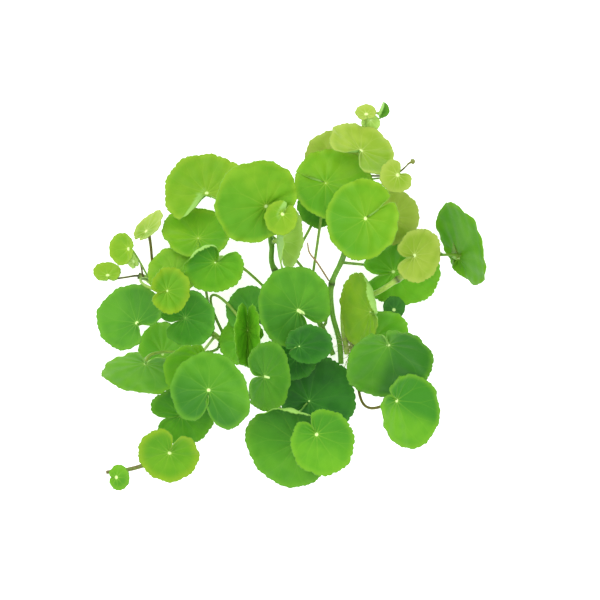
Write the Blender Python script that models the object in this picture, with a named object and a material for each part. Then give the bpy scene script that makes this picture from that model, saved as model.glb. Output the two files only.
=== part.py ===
"""A loose bunch of Brazilian pennywort, cut and laid down: leaves, stems, a bud and roots.

Lengths are in millimetres and angles in degrees, and they become metres when a mesh is made. The bunch is
described as seen from straight above, with +Y up the page. Every leaf settles on what lies under it, and
then its petiole looks for a free way down to its stem.
"""

import math
from dataclasses import dataclass
from itertools import product

import bpy
from mathutils import Matrix, Vector
from mathutils.bvhtree import BVHTree

# Driving dimensions
MM = 0.001
BLADE_THICKNESS = 0.8
NOTCH_DEPTH_LEFT = 0.12
NOTCH_ROOM = 3.2
WAVES = 3
CURL_FROM = 0.72
PETIOLE_RADIUS = 0.75
SMALL_PETIOLE_RADIUS = 0.5
SMALL_LEAF = 9.5
COLLAR = 1.5
STEM_RADIUS = 1.35
ROOT_RADIUS = 0.5
KNOT = 1.45
GAP = 0.35

# How finely the solids are cut
SECTORS = 16
SMALL_SECTORS = 11
RINGS = (0.56, 1.0)
CURLED_RINGS = (0.5, CURL_FROM, 1.0)
TUBE_SIDES = 5
PETIOLE_STEPS = 4
STEM_STEP = 9.0
ROOT_STEP = 5.0
ROUND_OUT = 1.012
LOBE_CORNER = 0.25
FACING_STEP = 0.02
KNOT_NEAR = 0.5

# How leaves settle and petioles find their way
SETTLE_GAP = 1.6
RAYS_ROUND = 48
RAY_SHARES = (0.0, 0.25, 0.5, 0.75, 0.9, 1.0)
HIGH = 200.0
DROPS = (5.0, 9.0, 14.0, 20.0, 3.0)
RISES = (3.0, 9.0, 16.0, 24.0)
BOWS = (0.0, 5.0, -5.0, 10.0, -10.0, 16.0, -16.0, 23.0, -23.0, 31.0, -31.0, 40.0, -40.0)
SHIFTS = (0.0, 0.05, -0.05, 0.1, -0.1, 0.16, -0.16, 0.24, -0.24)
SHIFT_COST = 60.0
LENGTH_COST = 0.1
JOINT_OUT = 0.6
JOINT_UP = 0.8
BOW_AT_TOP = 0.6
LOOK_STEP = 1.8
LOOK_ROUND = 2.1
FREE_START = 4.0
UNDER_BLADE = 1.6
TOLERANCE = 0.001

COLLECTION = "brazilian_pennywort"
COLOURS = {
    "leaf_bright": (0.145, 0.445, 0.016),
    "leaf_mid": (0.09, 0.35, 0.02),
    "leaf_dark": (0.035, 0.19, 0.02),
    "leaf_young": (0.35, 0.58, 0.03),
    "stem_green": (0.42, 0.62, 0.12),
    "root_pale": (0.55, 0.6, 0.3),
}


@dataclass(frozen=True)
class Leaf:
    """One leaf: its blade's place and shape, and where its petiole starts."""

    name: str
    tone: str
    x: float
    y: float
    rest: float
    radius: float
    notch: float
    shift: float
    tilt: float
    lean: float
    stem: str
    along: float
    cup: float = 0.1
    wave: float = 0.035
    fold: float = 0.0
    gape: float = 34.0
    wedge: float = 0.0
    bulge: float = 0.0
    bulge_at: float = 0.0
    curl: float = 0.0
    curl_at: float = 0.0


# Each stem's route from its cut end to its tip: x, y and height of the middle line, then its thickness
# beside an ordinary stem.
STEMS = {
    "stem_top": (
        (26.5, -34.0, 2.4, 1.0),
        (25.5, -22.0, 3.0, 1.0),
        (22.0, -8.0, 6.0, 1.0),
        (21.75, 6.5, 9.0, KNOT),
        (27.5, 20.0, 12.0, 1.0),
        (31.0, 36.0, 13.0, 1.0),
        (36.0, 60.0, 13.0, 0.9),
        (40.5, 77.0, 12.0, 1.0),
        (43.5, 89.0, 11.0, 0.8),
    ),
    "stem_centre": (
        (22.5, -29.5, 2.0, 1.0),
        (17.0, -16.0, 3.0, 1.0),
        (9.5, -4.0, 5.0, 1.0),
        (-7.0, 13.5, 12.0, KNOT),
        (-8.5, 26.0, 17.0, 1.0),
        (-10.5, 36.0, 20.0, 0.8),
    ),
    "stem_left": (
        (19.5, -33.5, 1.8, 1.0),
        (0.0, -32.5, 2.5, 1.0),
        (-19.5, -31.0, 6.0, 1.0),
        (-30.5, -25.5, 10.0, 1.0),
        (-37.0, -19.5, 12.0, 1.1),
        (-53.5, -10.5, 13.0, KNOT),
        (-62.0, -1.5, 11.0, 1.0),
        (-70.0, 8.0, 9.0, 1.0),
        (-75.5, 10.5, 8.0, KNOT),
    ),
    "stem_right": (
        (29.5, -29.0, 2.2, 1.0),
        (27.5, -14.0, 4.0, 1.0),
        (29.5, -1.5, 12.0, 1.0),
        (43.5, 1.75, 24.0, 1.1),
        (54.5, 8.5, 31.0, KNOT),
        (66.0, 15.5, 27.0, 0.9),
        (76.0, 21.5, 22.0, 0.9),
    ),
    "stem_lower_left": (
        (21.0, -38.0, 2.0, 1.0),
        (4.0, -44.0, 1.6, 1.0),
        (-18.0, -50.0, 1.6, 1.0),
        (-38.0, -56.0, 2.0, 1.0),
        (-52.0, -66.0, 3.0, 1.0),
        (-59.5, -78.5, 4.5, 1.1),
        (-69.0, -83.5, 6.0, 0.9),
        (-80.0, -87.0, 6.0, 0.8),
        (-92.0, -88.6, 5.5, 0.7),
    ),
    "stem_bottom": (
        (25.5, -39.5, 2.2, 1.0),
        (18.0, -51.0, 1.7, 1.0),
        (12.5, -63.0, 1.8, 0.9),
        (8.0, -70.0, 2.0, 0.9),
        (5.0, -76.0, 2.6, 0.9),
    ),
    "stem_side": (
        (30.5, -36.0, 2.2, 1.0),
        (38.0, -33.0, 1.8, 1.0),
        (48.0, -29.0, 2.5, 1.0),
        (56.0, -27.0, 4.0, 0.9),
    ),
}

# The free root's route: x, y and height.
FREE_ROOT = (
    (9.5, 27.0, 22.0),
    (10.5, 22.0, 23.0),
    (14.0, 17.5, 21.0),
    (18.0, 11.5, 16.0),
    (20.2, 8.0, 10.9),
)

# The root wad: an uneven lump under the cut ends.
WAD_MIDDLE = (34.0, -24.0)
WAD_SIZE = (7.0, 13.0, 5.0)
WAD_LEVELS = 5
WAD_SECTORS = 12
WAD_ROUGH = 0.09

# The bud stands on a thin stalk of its own.
BUD_ROUTE = (
    (38.0, 60.9, 13.6),
    (46.0, 60.5, 22.0),
    (54.0, 61.5, 32.0),
    (58.3, 64.6, 39.0),
    (59.6, 66.0, 45.0),
    (61.2, 66.8, 48.8),
    (62.4, 67.4, 51.0),
)
BUD_RADII = (0.5, 0.5, 0.5, 0.45, 0.5, 1.4, 0.8)

# Leaves that lie under the stems, from the lowest up.
UNDER_STEMS = (
    Leaf("leaf_41", "leaf_dark", 56.75, 12.75, 9.0, 20.5, 185.0, 0.2, 36.0, 270.0, "stem_top", 0.42),
    Leaf("leaf_47", "leaf_young", -78.75, 19.0, 7.0, 5.0, 300.0, 0.3, 50.0, 200.0, "stem_left", 0.97),
)

# Leaves that lie over the stems, from the lowest up.
OVER_STEMS = (
    Leaf("leaf_32", "leaf_bright", -85.0, -91.0, 6.0, 6.75, 180.0, 0.3, 35.0, 180.0, "stem_lower_left",
         0.97),
    Leaf("leaf_28", "leaf_mid", -63.0, -27.5, 8.0, 15.5, 250.0, 0.1, 38.0, 180.0, "stem_left", 0.66),
    Leaf("leaf_30", "leaf_dark", -53.0, -59.5, 9.0, 16.25, 190.0, 0.05, 20.0, 270.0, "stem_lower_left", 0.5,
         bulge=0.12, bulge_at=160.0),
    Leaf("leaf_35", "leaf_dark", 14.5, -48.5, 10.0, 19.5, 225.0, 0.3, 10.0, 300.0, "stem_bottom", 0.35,
         bulge=0.12, bulge_at=320.0),
    Leaf("leaf_36", "leaf_dark", 3.2, -31.0, 8.0, 11.5, 20.0, 0.1, 8.0, 100.0, "stem_left", 0.1),
    Leaf("leaf_23", "leaf_dark", -23.0, -22.5, 9.0, 12.5, 0.0, 0.1, 14.0, 180.0, "stem_left", 0.3),
    Leaf("leaf_24", "leaf_mid", -19.5, -6.75, 9.0, 12.5, 300.0, 0.1, 15.0, 150.0, "stem_centre", 0.5),
    Leaf("leaf_43", "leaf_mid", 88.9, 27.3, 22.0, 22.6, 225.0, 0.7, 66.0, 203.0, "stem_right", 0.99,
         gape=34.0),
    Leaf("leaf_44", "leaf_dark", 53.0, -5.5, 12.0, 6.0, 270.0, 0.2, 15.0, 0.0, "stem_side", 0.93),
    Leaf("leaf_05", "leaf_young", 22.25, 69.75, 16.0, 14.5, 300.0, 0.1, 15.0, 120.0, "stem_top", 0.8),
    Leaf("leaf_07", "leaf_dark", 14.75, 45.0, 16.0, 11.0, 60.0, 0.1, 20.0, 200.0, "stem_centre", 0.66),
    Leaf("leaf_03", "leaf_young", 41.25, 87.2, 17.0, 5.0, 90.0, 0.3, 30.0, 270.0, "stem_top", 0.93),
    Leaf("leaf_01", "leaf_young", 38.75, 92.25, 16.0, 5.5, 280.0, 0.2, 40.0, 90.0, "stem_top", 0.97),
    Leaf("leaf_02", "leaf_dark", 46.25, 93.75, 14.0, 4.3, 250.0, 0.5, 55.0, 350.0, "stem_top", 0.99),
    Leaf("leaf_48", "leaf_bright", -91.4, 12.2, 9.0, 7.25, 280.0, 0.3, 45.0, 90.0, "stem_left", 0.99),
    Leaf("leaf_49", "leaf_dark", -50.25, -10.25, 15.0, 15.5, 200.0, 0.1, 25.0, 225.0, "stem_left", 0.45),
    Leaf("leaf_11", "leaf_bright", -57.5, 12.0, 12.0, 13.6, 290.0, 0.1, 22.0, 120.0, "stem_left", 0.78),
    Leaf("leaf_16", "leaf_bright", -45.25, 30.5, 16.0, 16.5, 270.0, 0.1, 38.0, 90.0, "stem_left", 0.4,
         bulge=0.18, bulge_at=150.0),
    Leaf("leaf_19", "leaf_bright", -79.0, -10.5, 12.0, 18.0, 320.0, 0.27, 28.0, 135.0, "stem_left", 0.76,
         gape=52.0),
    Leaf("leaf_15", "leaf_young", -5.25, 29.5, 21.0, 18.0, 270.0, 0.1, 72.0, 0.0, "stem_centre", 0.7,
         fold=22.0),
    Leaf("leaf_22", "leaf_mid", -20.5, -18.75, 14.0, 17.5, 90.0, 0.1, 0.0, 180.0, "stem_left", 0.25,
         fold=52.0, gape=20.0),
    Leaf("leaf_09", "leaf_young", 51.9, 39.75, 20.0, 14.3, 180.0, 0.05, 12.0, 0.0, "stem_top", 0.28),
    Leaf("leaf_06", "leaf_bright", 22.5, 55.5, 24.0, 20.5, 160.0, 0.2, 26.0, 90.0, "stem_centre", 0.36,
         gape=20.0),
    Leaf("leaf_38", "leaf_dark", 46.75, -16.75, 14.0, 14.5, 235.0, 0.4, 40.0, 270.0, "stem_side", 0.3),
    Leaf("leaf_29", "leaf_bright", -72.25, -36.75, 12.0, 19.3, 80.0, 0.3, 56.0, 270.0, "stem_left", 0.45,
         gape=42.0, bulge=0.12, bulge_at=185.0),
    Leaf("leaf_27", "leaf_mid", -48.0, -37.0, 16.0, 15.0, 60.0, 0.6, 24.0, 270.0, "stem_left", 0.71),
    Leaf("leaf_20", "leaf_bright", 2.4, -4.0, 37.0, 20.0, 312.0, 0.2, 20.0, 0.0, "stem_centre", 0.25,
         bulge=0.12, bulge_at=240.0),
    Leaf("leaf_45", "leaf_young", -69.7, 35.1, 20.0, 10.0, 240.0, 0.3, 62.0, 137.0, "stem_left", 0.965),
    Leaf("leaf_46", "leaf_young", -83.5, 23.9, 18.0, 8.5, 0.0, 0.5, 40.0, 180.0, "stem_left", 0.93),
    Leaf("leaf_12", "leaf_bright", -41.0, 51.75, 24.0, 22.0, 282.0, 0.0, 25.0, 90.0, "stem_centre", 0.4,
         gape=54.0, wedge=40.0),
    Leaf("leaf_17", "leaf_mid", -37.25, 15.75, 24.0, 15.5, 60.0, 0.1, 28.0, 270.0, "stem_left", 0.3),
    Leaf("leaf_21", "leaf_mid", 10.6, -23.25, 26.0, 12.3, 200.0, 0.45, 36.0, 270.0, "stem_centre", 0.1),
    Leaf("leaf_37", "leaf_bright", 37.0, -6.5, 24.0, 19.5, 350.0, 0.4, 60.0, 180.0, "stem_right", 0.2),
    Leaf("leaf_39", "leaf_mid", 51.5, -30.9, 24.0, 21.75, 100.0, 0.45, 46.0, 270.0, "stem_side", 0.7,
         gape=18.0, bulge=0.22, bulge_at=250.0),
    Leaf("leaf_04", "leaf_young", 36.25, 72.9, 28.0, 18.3, 268.0, 0.0, 50.0, 60.0, "stem_top", 0.85),
    Leaf("leaf_10", "leaf_young", 53.75, 60.0, 30.0, 8.9, 38.0, 0.1, 10.0, 30.0, "stem_top", 0.75,
         gape=70.0),
    Leaf("leaf_08", "leaf_bright", 37.5, 38.25, 34.0, 21.0, 30.0, 0.05, 30.0, 180.0, "stem_top", 0.34),
    Leaf("leaf_42", "leaf_young", 64.25, 20.7, 36.0, 14.25, 185.0, 0.12, 36.0, 340.0, "stem_right", 0.75),
    Leaf("leaf_18", "leaf_young", -59.25, 3.0, 30.0, 12.2, 190.0, 0.1, 34.0, 0.0, "stem_left", 0.83),
    Leaf("leaf_13", "leaf_bright", -16.9, 47.9, 32.0, 22.6, 330.0, 0.33, 30.0, 316.0, "stem_centre", 0.78,
         gape=46.0),
    Leaf("leaf_25", "leaf_mid", -11.2, -39.75, 24.0, 18.0, 180.0, 0.05, 50.0, 0.0, "stem_left", 0.2),
    Leaf("leaf_33", "leaf_dark", 0.25, -71.75, 49.0, 22.4, 356.0, 0.2, 20.0, 220.0, "stem_lower_left", 0.2,
         gape=48.0, bulge=0.1, bulge_at=295.0),
    Leaf("leaf_31", "leaf_young", -59.75, -79.0, 26.0, 15.5, 75.0, 0.05, 28.0, 270.0, "stem_lower_left", 0.72,
         bulge=0.1, bulge_at=140.0),
    Leaf("leaf_40", "leaf_bright", 60.2, -57.5, 30.0, 19.25, 145.0, 0.5, 38.0, 0.0, "stem_side", 0.1),
    Leaf("leaf_26", "leaf_bright", -39.5, -46.4, 34.0, 19.5, 266.0, 0.0, 10.0, 180.0, "stem_lower_left", 0.4,
         gape=42.0, bulge=0.25, bulge_at=318.0),
    Leaf("leaf_14", "leaf_young", -4.0, 39.0, 44.0, 9.0, 60.0, 0.25, 18.0, 0.0, "stem_centre", 0.8),
    Leaf("leaf_34", "leaf_bright", 16.75, -72.25, 30.0, 17.0, 125.0, 0.3, 16.0, 0.0, "stem_bottom", 0.97),
)
LEAVES = UNDER_STEMS + OVER_STEMS


def is_small(leaf):
    """True for a leaf that takes fewer sectors and a thinner petiole."""
    return leaf.radius < SMALL_LEAF


def petiole_radius(leaf):
    """Radius of the leaf's petiole."""
    return SMALL_PETIOLE_RADIUS if is_small(leaf) else PETIOLE_RADIUS


def turn(leaf):
    """Rotation from the level blade to the tilted one."""
    lean = math.radians(leaf.lean)
    axis = Vector((-math.sin(lean), math.cos(lean), 0.0))
    return Matrix.Rotation(math.radians(leaf.tilt), 3, axis)


def margin(leaf, phi):
    """Distance from the petiole to the margin, at phi from the middle of the notch."""
    across = leaf.shift * math.sin(phi)
    disc = math.sqrt(1.0 - across * across) - leaf.shift * math.cos(phi)
    beside = (abs(phi) - math.radians(leaf.wedge)) / math.radians(leaf.gape - leaf.wedge)
    opened = min(max(beside, 0.0), 1.0)
    left = max(NOTCH_DEPTH_LEFT, NOTCH_ROOM * petiole_radius(leaf) / leaf.radius)
    near_bulge = max(0.0, math.cos(phi + math.radians(leaf.notch - leaf.bulge_at))) ** 4
    disc *= 1.0 + leaf.bulge * near_bulge
    return leaf.radius * disc * (left + (1.0 - left) * math.sqrt(opened * (2.0 - opened)))


def wrapped(angle):
    """The same angle, between -pi and pi."""
    return math.atan2(math.sin(angle), math.cos(angle))


def surface(leaf, share, phi):
    """Point of the level blade at a share of the way to the margin, from the petiole's top."""
    reach = margin(leaf, wrapped(phi))
    notch = math.radians(leaf.notch)
    out = reach * share
    ripple = leaf.wave * math.sin(WAVES * phi + leaf.x)
    height = leaf.radius * share * share * (leaf.cup + ripple)
    near_curl = max(0.0, math.cos(notch + phi - math.radians(leaf.curl_at))) ** 3
    angle = math.radians(leaf.curl) * near_curl * (share - CURL_FROM) / (1.0 - CURL_FROM)
    if share > CURL_FROM and angle > 0.001:
        strip = reach * (share - CURL_FROM)
        out = reach * CURL_FROM + strip * math.sin(angle) / angle
        height += strip * (1.0 - math.cos(angle)) / angle
    along = out * math.cos(phi)
    across = out * math.sin(phi)
    height += abs(across) * math.sin(math.radians(leaf.fold))
    across *= math.cos(math.radians(leaf.fold))
    return Vector((
        along * math.cos(notch) - across * math.sin(notch),
        along * math.sin(notch) + across * math.cos(notch),
        height,
    ))


def facing(leaf, share, phi):
    """Way that the level blade's upper face looks, just inside a point."""
    near = share - FACING_STEP
    outwards = surface(leaf, near + FACING_STEP, phi) - surface(leaf, near - FACING_STEP, phi)
    onwards = surface(leaf, near, phi + FACING_STEP) - surface(leaf, near, phi - FACING_STEP)
    return outwards.cross(onwards).normalized()


def spot(leaf):
    """Top of the petiole beside the middle of the blade, with the blade tilted."""
    notch = math.radians(leaf.notch)
    away = leaf.shift * leaf.radius
    return turn(leaf) @ Vector((away * math.cos(notch), away * math.sin(notch), 0.0))


def sector_angles(leaf):
    """Angles of the blade's corners: in the notch, on the lobes, then evenly round."""
    count = SMALL_SECTORS if is_small(leaf) else SECTORS
    gape = math.radians(leaf.gape)
    rest = count - 3
    step = (2.0 * math.pi - 2.0 * gape) / (rest - 1)
    lobe = LOBE_CORNER * gape
    return [0.0, lobe, *(gape + k * step for k in range(rest)), 2.0 * math.pi - lobe]


def blade_rings(leaf, place):
    """Rings of corners over the blade's upper face, round its margin and back under it."""
    rotation = turn(leaf)
    angles = sector_angles(leaf)
    shares = CURLED_RINGS if leaf.curl else RINGS
    upper, lower = [], []
    for share in shares:
        grown = share * ROUND_OUT if share == 1.0 else share
        upper.append([place + rotation @ surface(leaf, grown, phi) for phi in angles])
        lower.append([
            point - rotation @ facing(leaf, share, phi) * BLADE_THICKNESS
            for point, phi in zip(upper[-1], angles)
        ])
    return upper + lower[::-1]


def stitch(first, first_angles, second, second_angles):
    """Triangles between two rings of unlike counts, both counted round from the notch."""
    faces, i, j = [], 0, 0
    while i < len(first) or j < len(second):
        next_first = first_angles[i + 1] if i + 1 < len(first) else 2.0 * math.pi
        next_second = second_angles[j + 1] if j + 1 < len(second) else 2.0 * math.pi
        a, b = first[i % len(first)], second[j % len(second)]
        if j >= len(second) or (i < len(first) and next_first <= next_second):
            i += 1
            faces.append((a, b, first[i % len(first)]))
        else:
            j += 1
            faces.append((a, b, second[j % len(second)]))
    return faces


def bridge(first, second):
    """Four-sided faces between two rings of the same count."""
    count = len(first)
    return [(first[k], second[k], second[(k + 1) % count], first[(k + 1) % count]) for k in range(count)]


def fan(ring, tip, closing):
    """Triangles between a ring and one point, which starts the body or closes it."""
    count = len(ring)
    if closing:
        return [(ring[k], tip, ring[(k + 1) % count]) for k in range(count)]
    return [(tip, ring[k], ring[(k + 1) % count]) for k in range(count)]


def bezier(handles, t):
    """Point of a cubic curve."""
    a, b, c, d = handles
    u = 1.0 - t
    return a * u * u * u + b * 3.0 * u * u * t + c * 3.0 * u * t * t + d * t * t * t


def tube_rings(path, radii, along_notch, across):
    """Rings of corners round a path, kept from twisting. The first two axes come from the blade."""
    rings = []
    before = -along_notch.cross(across)
    for k, middle in enumerate(path):
        ahead = path[min(k + 1, len(path) - 1)] - path[max(k - 1, 0)]
        way = before if k == 0 else ahead.normalized()
        swing = before.rotation_difference(way)
        along_notch, across, before = swing @ along_notch, swing @ across, way
        rings.append([
            middle
            + (along_notch * math.cos(a) + across * math.sin(a)) * radii[k]
            for a in (2.0 * math.pi * j / TUBE_SIDES for j in range(TUBE_SIDES))
        ])
    return rings


def leaf_solid(leaf, place, handles):
    """Corners and faces of a whole leaf: blade, collar, petiole and its end."""
    rotation = turn(leaf)
    angles = sector_angles(leaf)
    notch = math.radians(leaf.notch)
    radius = petiole_radius(leaf)
    path = petiole_path(handles)
    radii = [radius * COLLAR] + [radius] * PETIOLE_STEPS
    along_notch = rotation @ Vector((math.cos(notch), math.sin(notch), 0.0))
    across = rotation @ Vector((-math.sin(notch), math.cos(notch), 0.0))
    tube = tube_rings(path, radii, along_notch, across)
    corners = [place.copy()]
    rings = []
    for ring in blade_rings(leaf, place) + tube:
        rings.append(list(range(len(corners), len(corners) + len(ring))))
        corners.extend(ring)
    blade_count = len(rings) - len(tube)
    faces = fan(rings[0], 0, closing=False)
    for k in range(len(rings) - 1):
        if k == blade_count - 1:
            around = [2.0 * math.pi * j / TUBE_SIDES for j in range(TUBE_SIDES)]
            faces += stitch(rings[k], angles, rings[k + 1], around)
        else:
            faces += bridge(rings[k], rings[k + 1])
    corners.append(path[-1])
    faces += fan(rings[-1], len(corners) - 1, closing=True)
    return corners, faces


def blade_alone(leaf, place):
    """Corners and faces of a closed blade with no petiole."""
    rings = blade_rings(leaf, place)
    corners = [place.copy()] + [corner for ring in rings for corner in ring]
    count = len(rings[0])
    numbered = [list(range(1 + count * k, 1 + count * (k + 1))) for k in range(len(rings))]
    corners.append(place - turn(leaf) @ Vector((0.0, 0.0, BLADE_THICKNESS)))
    faces = fan(numbered[0], 0, closing=False)
    for first, second in zip(numbered, numbered[1:]):
        faces += bridge(first, second)
    return corners, faces + fan(numbered[-1], len(corners) - 1, closing=True)


def smooth_route(points, step):
    """Points read from a smooth curve through a route's own points, about a step apart."""
    route = [Vector(point) for point in points]
    route = [route[0] * 2.0 - route[1], *route, route[-1] * 2.0 - route[-2]]
    found = []
    for before, start, end, after in zip(route, route[1:], route[2:], route[3:]):
        pieces = max(1, round((end - start).length / step))
        for k in range(pieces):
            t = k / pieces
            found.append(0.5 * (
                start * 2.0
                + (end - before) * t
                + (before * 2.0 - start * 5.0 + end * 4.0 - after) * t * t
                + (start * 3.0 - before - end * 3.0 + after) * t * t * t
            ))
    return found + [route[-2]]


def tube_solid(path, radii, sides=6):
    """Corners and faces of a closed tube, for measuring distances."""
    corners, faces, rings = [], [], []
    for k, middle in enumerate(path):
        way = (path[min(k + 1, len(path) - 1)] - path[max(k - 1, 0)]).normalized()
        side = way.cross(Vector((0.0, 0.0, 1.0)))
        side = side.normalized() if side.length > 0.01 else Vector((1.0, 0.0, 0.0))
        up = side.cross(way)
        rings.append(list(range(len(corners), len(corners) + sides)))
        corners.extend(
            middle + (side * math.cos(a) + up * math.sin(a)) * radii[k]
            for a in (2.0 * math.pi * j / sides for j in range(sides))
        )
    for first, second in zip(rings, rings[1:]):
        faces += bridge(first, second)
    return corners, faces + [tuple(rings[0]), tuple(rings[-1][::-1])]


class Neighbours:
    """The bodies placed so far, for measuring how far a new one is from them."""

    def __init__(self):
        self.bodies = {}

    def add(self, name, body):
        """Takes a body's corners and faces under a name."""
        self.bodies[name] = body

    def tree(self, left_out=()):
        """One search tree over all bodies except those left out."""
        corners, faces = [], []
        for name, (points, polygons) in self.bodies.items():
            if name in left_out:
                continue
            start = len(corners)
            corners += points
            faces += [tuple(start + corner for corner in polygon) for polygon in polygons]
        return BVHTree.FromPolygons(corners, faces) if corners else None


def lift_needed(leaf, place, tree, lower_corners):
    """How far the blade has to rise to clear the floor and everything under it."""
    body = blade_alone(leaf, place)
    need = -min(corner.z for corner in body[0])
    if tree is None:
        return need
    rotation = turn(leaf)
    under = Vector((0.0, 0.0, BLADE_THICKNESS))
    for share in RAY_SHARES:
        for k in range(RAYS_ROUND):
            point = place - under + rotation @ surface(leaf, share, 2.0 * math.pi * k / RAYS_ROUND)
            found = tree.ray_cast(Vector((point.x, point.y, HIGH)), Vector((0.0, 0.0, -1.0)))[0]
            if found:
                need = max(need, found.z + SETTLE_GAP - point.z)
    own = BVHTree.FromPolygons(*body)
    for corner in lower_corners:
        found = own.ray_cast(Vector((corner.x, corner.y, -HIGH)), Vector((0.0, 0.0, 1.0)))[0]
        if found:
            need = max(need, corner.z + SETTLE_GAP - found.z)
    return need


def settle(leaf, neighbours):
    """Place of the blade's petiole top, once the blade clears what lies under it."""
    place = Vector((leaf.x, leaf.y, leaf.rest)) + spot(leaf)
    lower = [corner for body in neighbours.bodies.values() for corner in body[0]]
    need = lift_needed(leaf, place, neighbours.tree(), lower)
    place.z += max(0.0, need)
    neighbours.add(leaf.name, blade_alone(leaf, place))
    return place


def petiole_path(handles):
    """Points along a petiole's curve, where the solid has its rings."""
    return [bezier(handles, k / PETIOLE_STEPS) for k in range(PETIOLE_STEPS + 1)]


def looks(path):
    """Points along a path, close enough together that no blade fits between two of them."""
    for start, end in zip(path, path[1:]):
        count = max(2, math.ceil((end - start).length / LOOK_STEP))
        for k in range(1, count + 1):
            yield start.lerp(end, k / count)


def clearance(handles, radius, tree, own):
    """Least free distance round a petiole, up to the gap that it needs."""
    least = GAP
    path = petiole_path(handles)
    for point in looks(path):
        least = min(least, point.z - radius)
        distance = tree.find_nearest(point, LOOK_ROUND)[3]
        if distance is not None:
            least = min(least, distance - radius)
        if (point - handles[0]).length > FREE_START:
            distance = own.find_nearest(point, LOOK_ROUND)[3]
            if distance is not None:
                least = min(least, distance - radius)
        if least < -radius:
            break
    return least


def stem_point(path, share):
    """Point at a share of the length of a path."""
    spans = [(b - a).length for a, b in zip(path, path[1:])]
    left = max(0.0, min(share, 1.0)) * sum(spans)
    for span, start, end in zip(spans, path, path[1:]):
        if left <= span:
            return start.lerp(end, left / span)
        left -= span
    return path[-1].copy()


def plainness(choice):
    """How far a way strays from the plainest one: a bow, or a joint moved along its stem."""
    shift, bow, drop, rise = choice
    return abs(bow) + SHIFT_COST * abs(shift) + LENGTH_COST * (drop + rise)


CHOICES = sorted(product(SHIFTS, BOWS, DROPS, RISES), key=plainness)


def ways(leaf, place, path):
    """Petiole curves to try, the plainest first."""
    down = -(turn(leaf) @ Vector((0.0, 0.0, 1.0)))
    start = place + down * BLADE_THICKNESS * UNDER_BLADE
    reach = STEM_RADIUS * KNOT + petiole_radius(leaf) + GAP
    for shift, bow, drop, rise in CHOICES:
        joint = stem_point(path, leaf.along + shift)
        level = Vector((start.x - joint.x, start.y - joint.y, 0.0)).normalized()
        side = Vector((-level.y, level.x, 0.0))
        out = (level * JOINT_OUT + Vector((0.0, 0.0, JOINT_UP))).normalized()
        end = joint + out * reach
        yield start, start + down * drop + side * bow * BOW_AT_TOP, end + out * rise + side * bow, end


def route(leaf, place, path, neighbours):
    """The first petiole curve that is clear of everything, or else the clearest."""
    tree = neighbours.tree(left_out=(leaf.name,))
    own = BVHTree.FromPolygons(*neighbours.bodies[leaf.name])
    best, best_room = None, -math.inf
    for handles in ways(leaf, place, path):
        room = clearance(handles, petiole_radius(leaf), tree, own)
        if room > best_room:
            best, best_room = handles, room
        if room >= GAP - TOLERANCE:
            break
    return best


def material(name):
    """The named Principled material, made once."""
    found = bpy.data.materials.get(name)
    if found:
        return found
    made = bpy.data.materials.new(name)
    made.use_nodes = True
    shader = made.node_tree.nodes["Principled BSDF"]
    shader.inputs["Base Color"].default_value = (*COLOURS[name], 1.0)
    shader.inputs["Roughness"].default_value = 0.45
    shader.inputs["Metallic"].default_value = 0.0
    return made


def add_mesh(collection, name, tone, corners, faces, shift):
    """Makes one named object from corners in millimetres."""
    mesh = bpy.data.meshes.new(name)
    mesh.from_pydata([(corner + shift) * MM for corner in corners], [], faces)
    mesh.shade_smooth()
    mesh.materials.append(material(tone))
    collection.objects.link(bpy.data.objects.new(name, mesh))


def add_tube(collection, name, tone, path, radii, shift):
    """Makes one named tube as a curve with filled caps, its radius set at each point."""
    curve = bpy.data.curves.new(name, "CURVE")
    curve.dimensions = "3D"
    curve.bevel_depth = MM
    curve.bevel_resolution = 2
    curve.use_fill_caps = True
    spline = curve.splines.new("POLY")
    spline.points.add(len(path) - 1)
    for point, middle, radius in zip(spline.points, path, radii):
        point.co = (*((middle + shift) * MM), 1.0)
        point.radius = radius
    curve.materials.append(material(tone))
    collection.objects.link(bpy.data.objects.new(name, curve))


def free_root_path():
    """The free root's smooth path."""
    return smooth_route(FREE_ROOT, ROOT_STEP)


def wad_solid():
    """Corners and faces of the root wad: a low uneven lump, drawn out along the cut ends."""
    corners, rings = [], []
    for level in range(1, WAD_LEVELS):
        lift = math.pi * level / WAD_LEVELS
        rings.append(list(range(len(corners), len(corners) + WAD_SECTORS)))
        for k in range(WAD_SECTORS):
            angle = 2.0 * math.pi * k / WAD_SECTORS
            rough = 1.0 + WAD_ROUGH * (math.sin(3.0 * angle + 2.0 * level) + math.cos(5.0 * angle))
            corners.append(Vector((
                WAD_MIDDLE[0] + WAD_SIZE[0] * 0.5 * math.sin(lift) * math.cos(angle) * rough,
                WAD_MIDDLE[1] + WAD_SIZE[1] * 0.5 * math.sin(lift) * math.sin(angle) * rough,
                WAD_SIZE[2] * 0.5 * (1.0 + math.cos(lift)),
            )))
    top = len(corners)
    corners.append(Vector((*WAD_MIDDLE, WAD_SIZE[2])))
    corners.append(Vector((*WAD_MIDDLE, 0.0)))
    faces = fan(rings[0], top, closing=False)
    for first, second in zip(rings, rings[1:]):
        faces += bridge(first, second)
    return corners, faces + fan(rings[-1], top + 1, closing=True)


def stem_routes():
    """Each stem's smooth path with its radii."""
    routes = {}
    for name, points in STEMS.items():
        path = smooth_route([point[:3] for point in points], STEM_STEP)
        knots = [Vector(point[:3]) for point in points]
        radii = []
        for middle in path:
            nearest = min(range(len(knots)), key=lambda k: (knots[k] - middle).length)
            near = (knots[nearest] - middle).length < KNOT_NEAR
            radii.append(STEM_RADIUS * (points[nearest][3] if near else min(1.0, points[nearest][3])))
        routes[name] = (path, radii)
    return routes


def clear_scene():
    """Removes whatever objects the scene starts with."""
    for existing in list(bpy.data.objects):
        bpy.data.objects.remove(existing, do_unlink=True)


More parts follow.
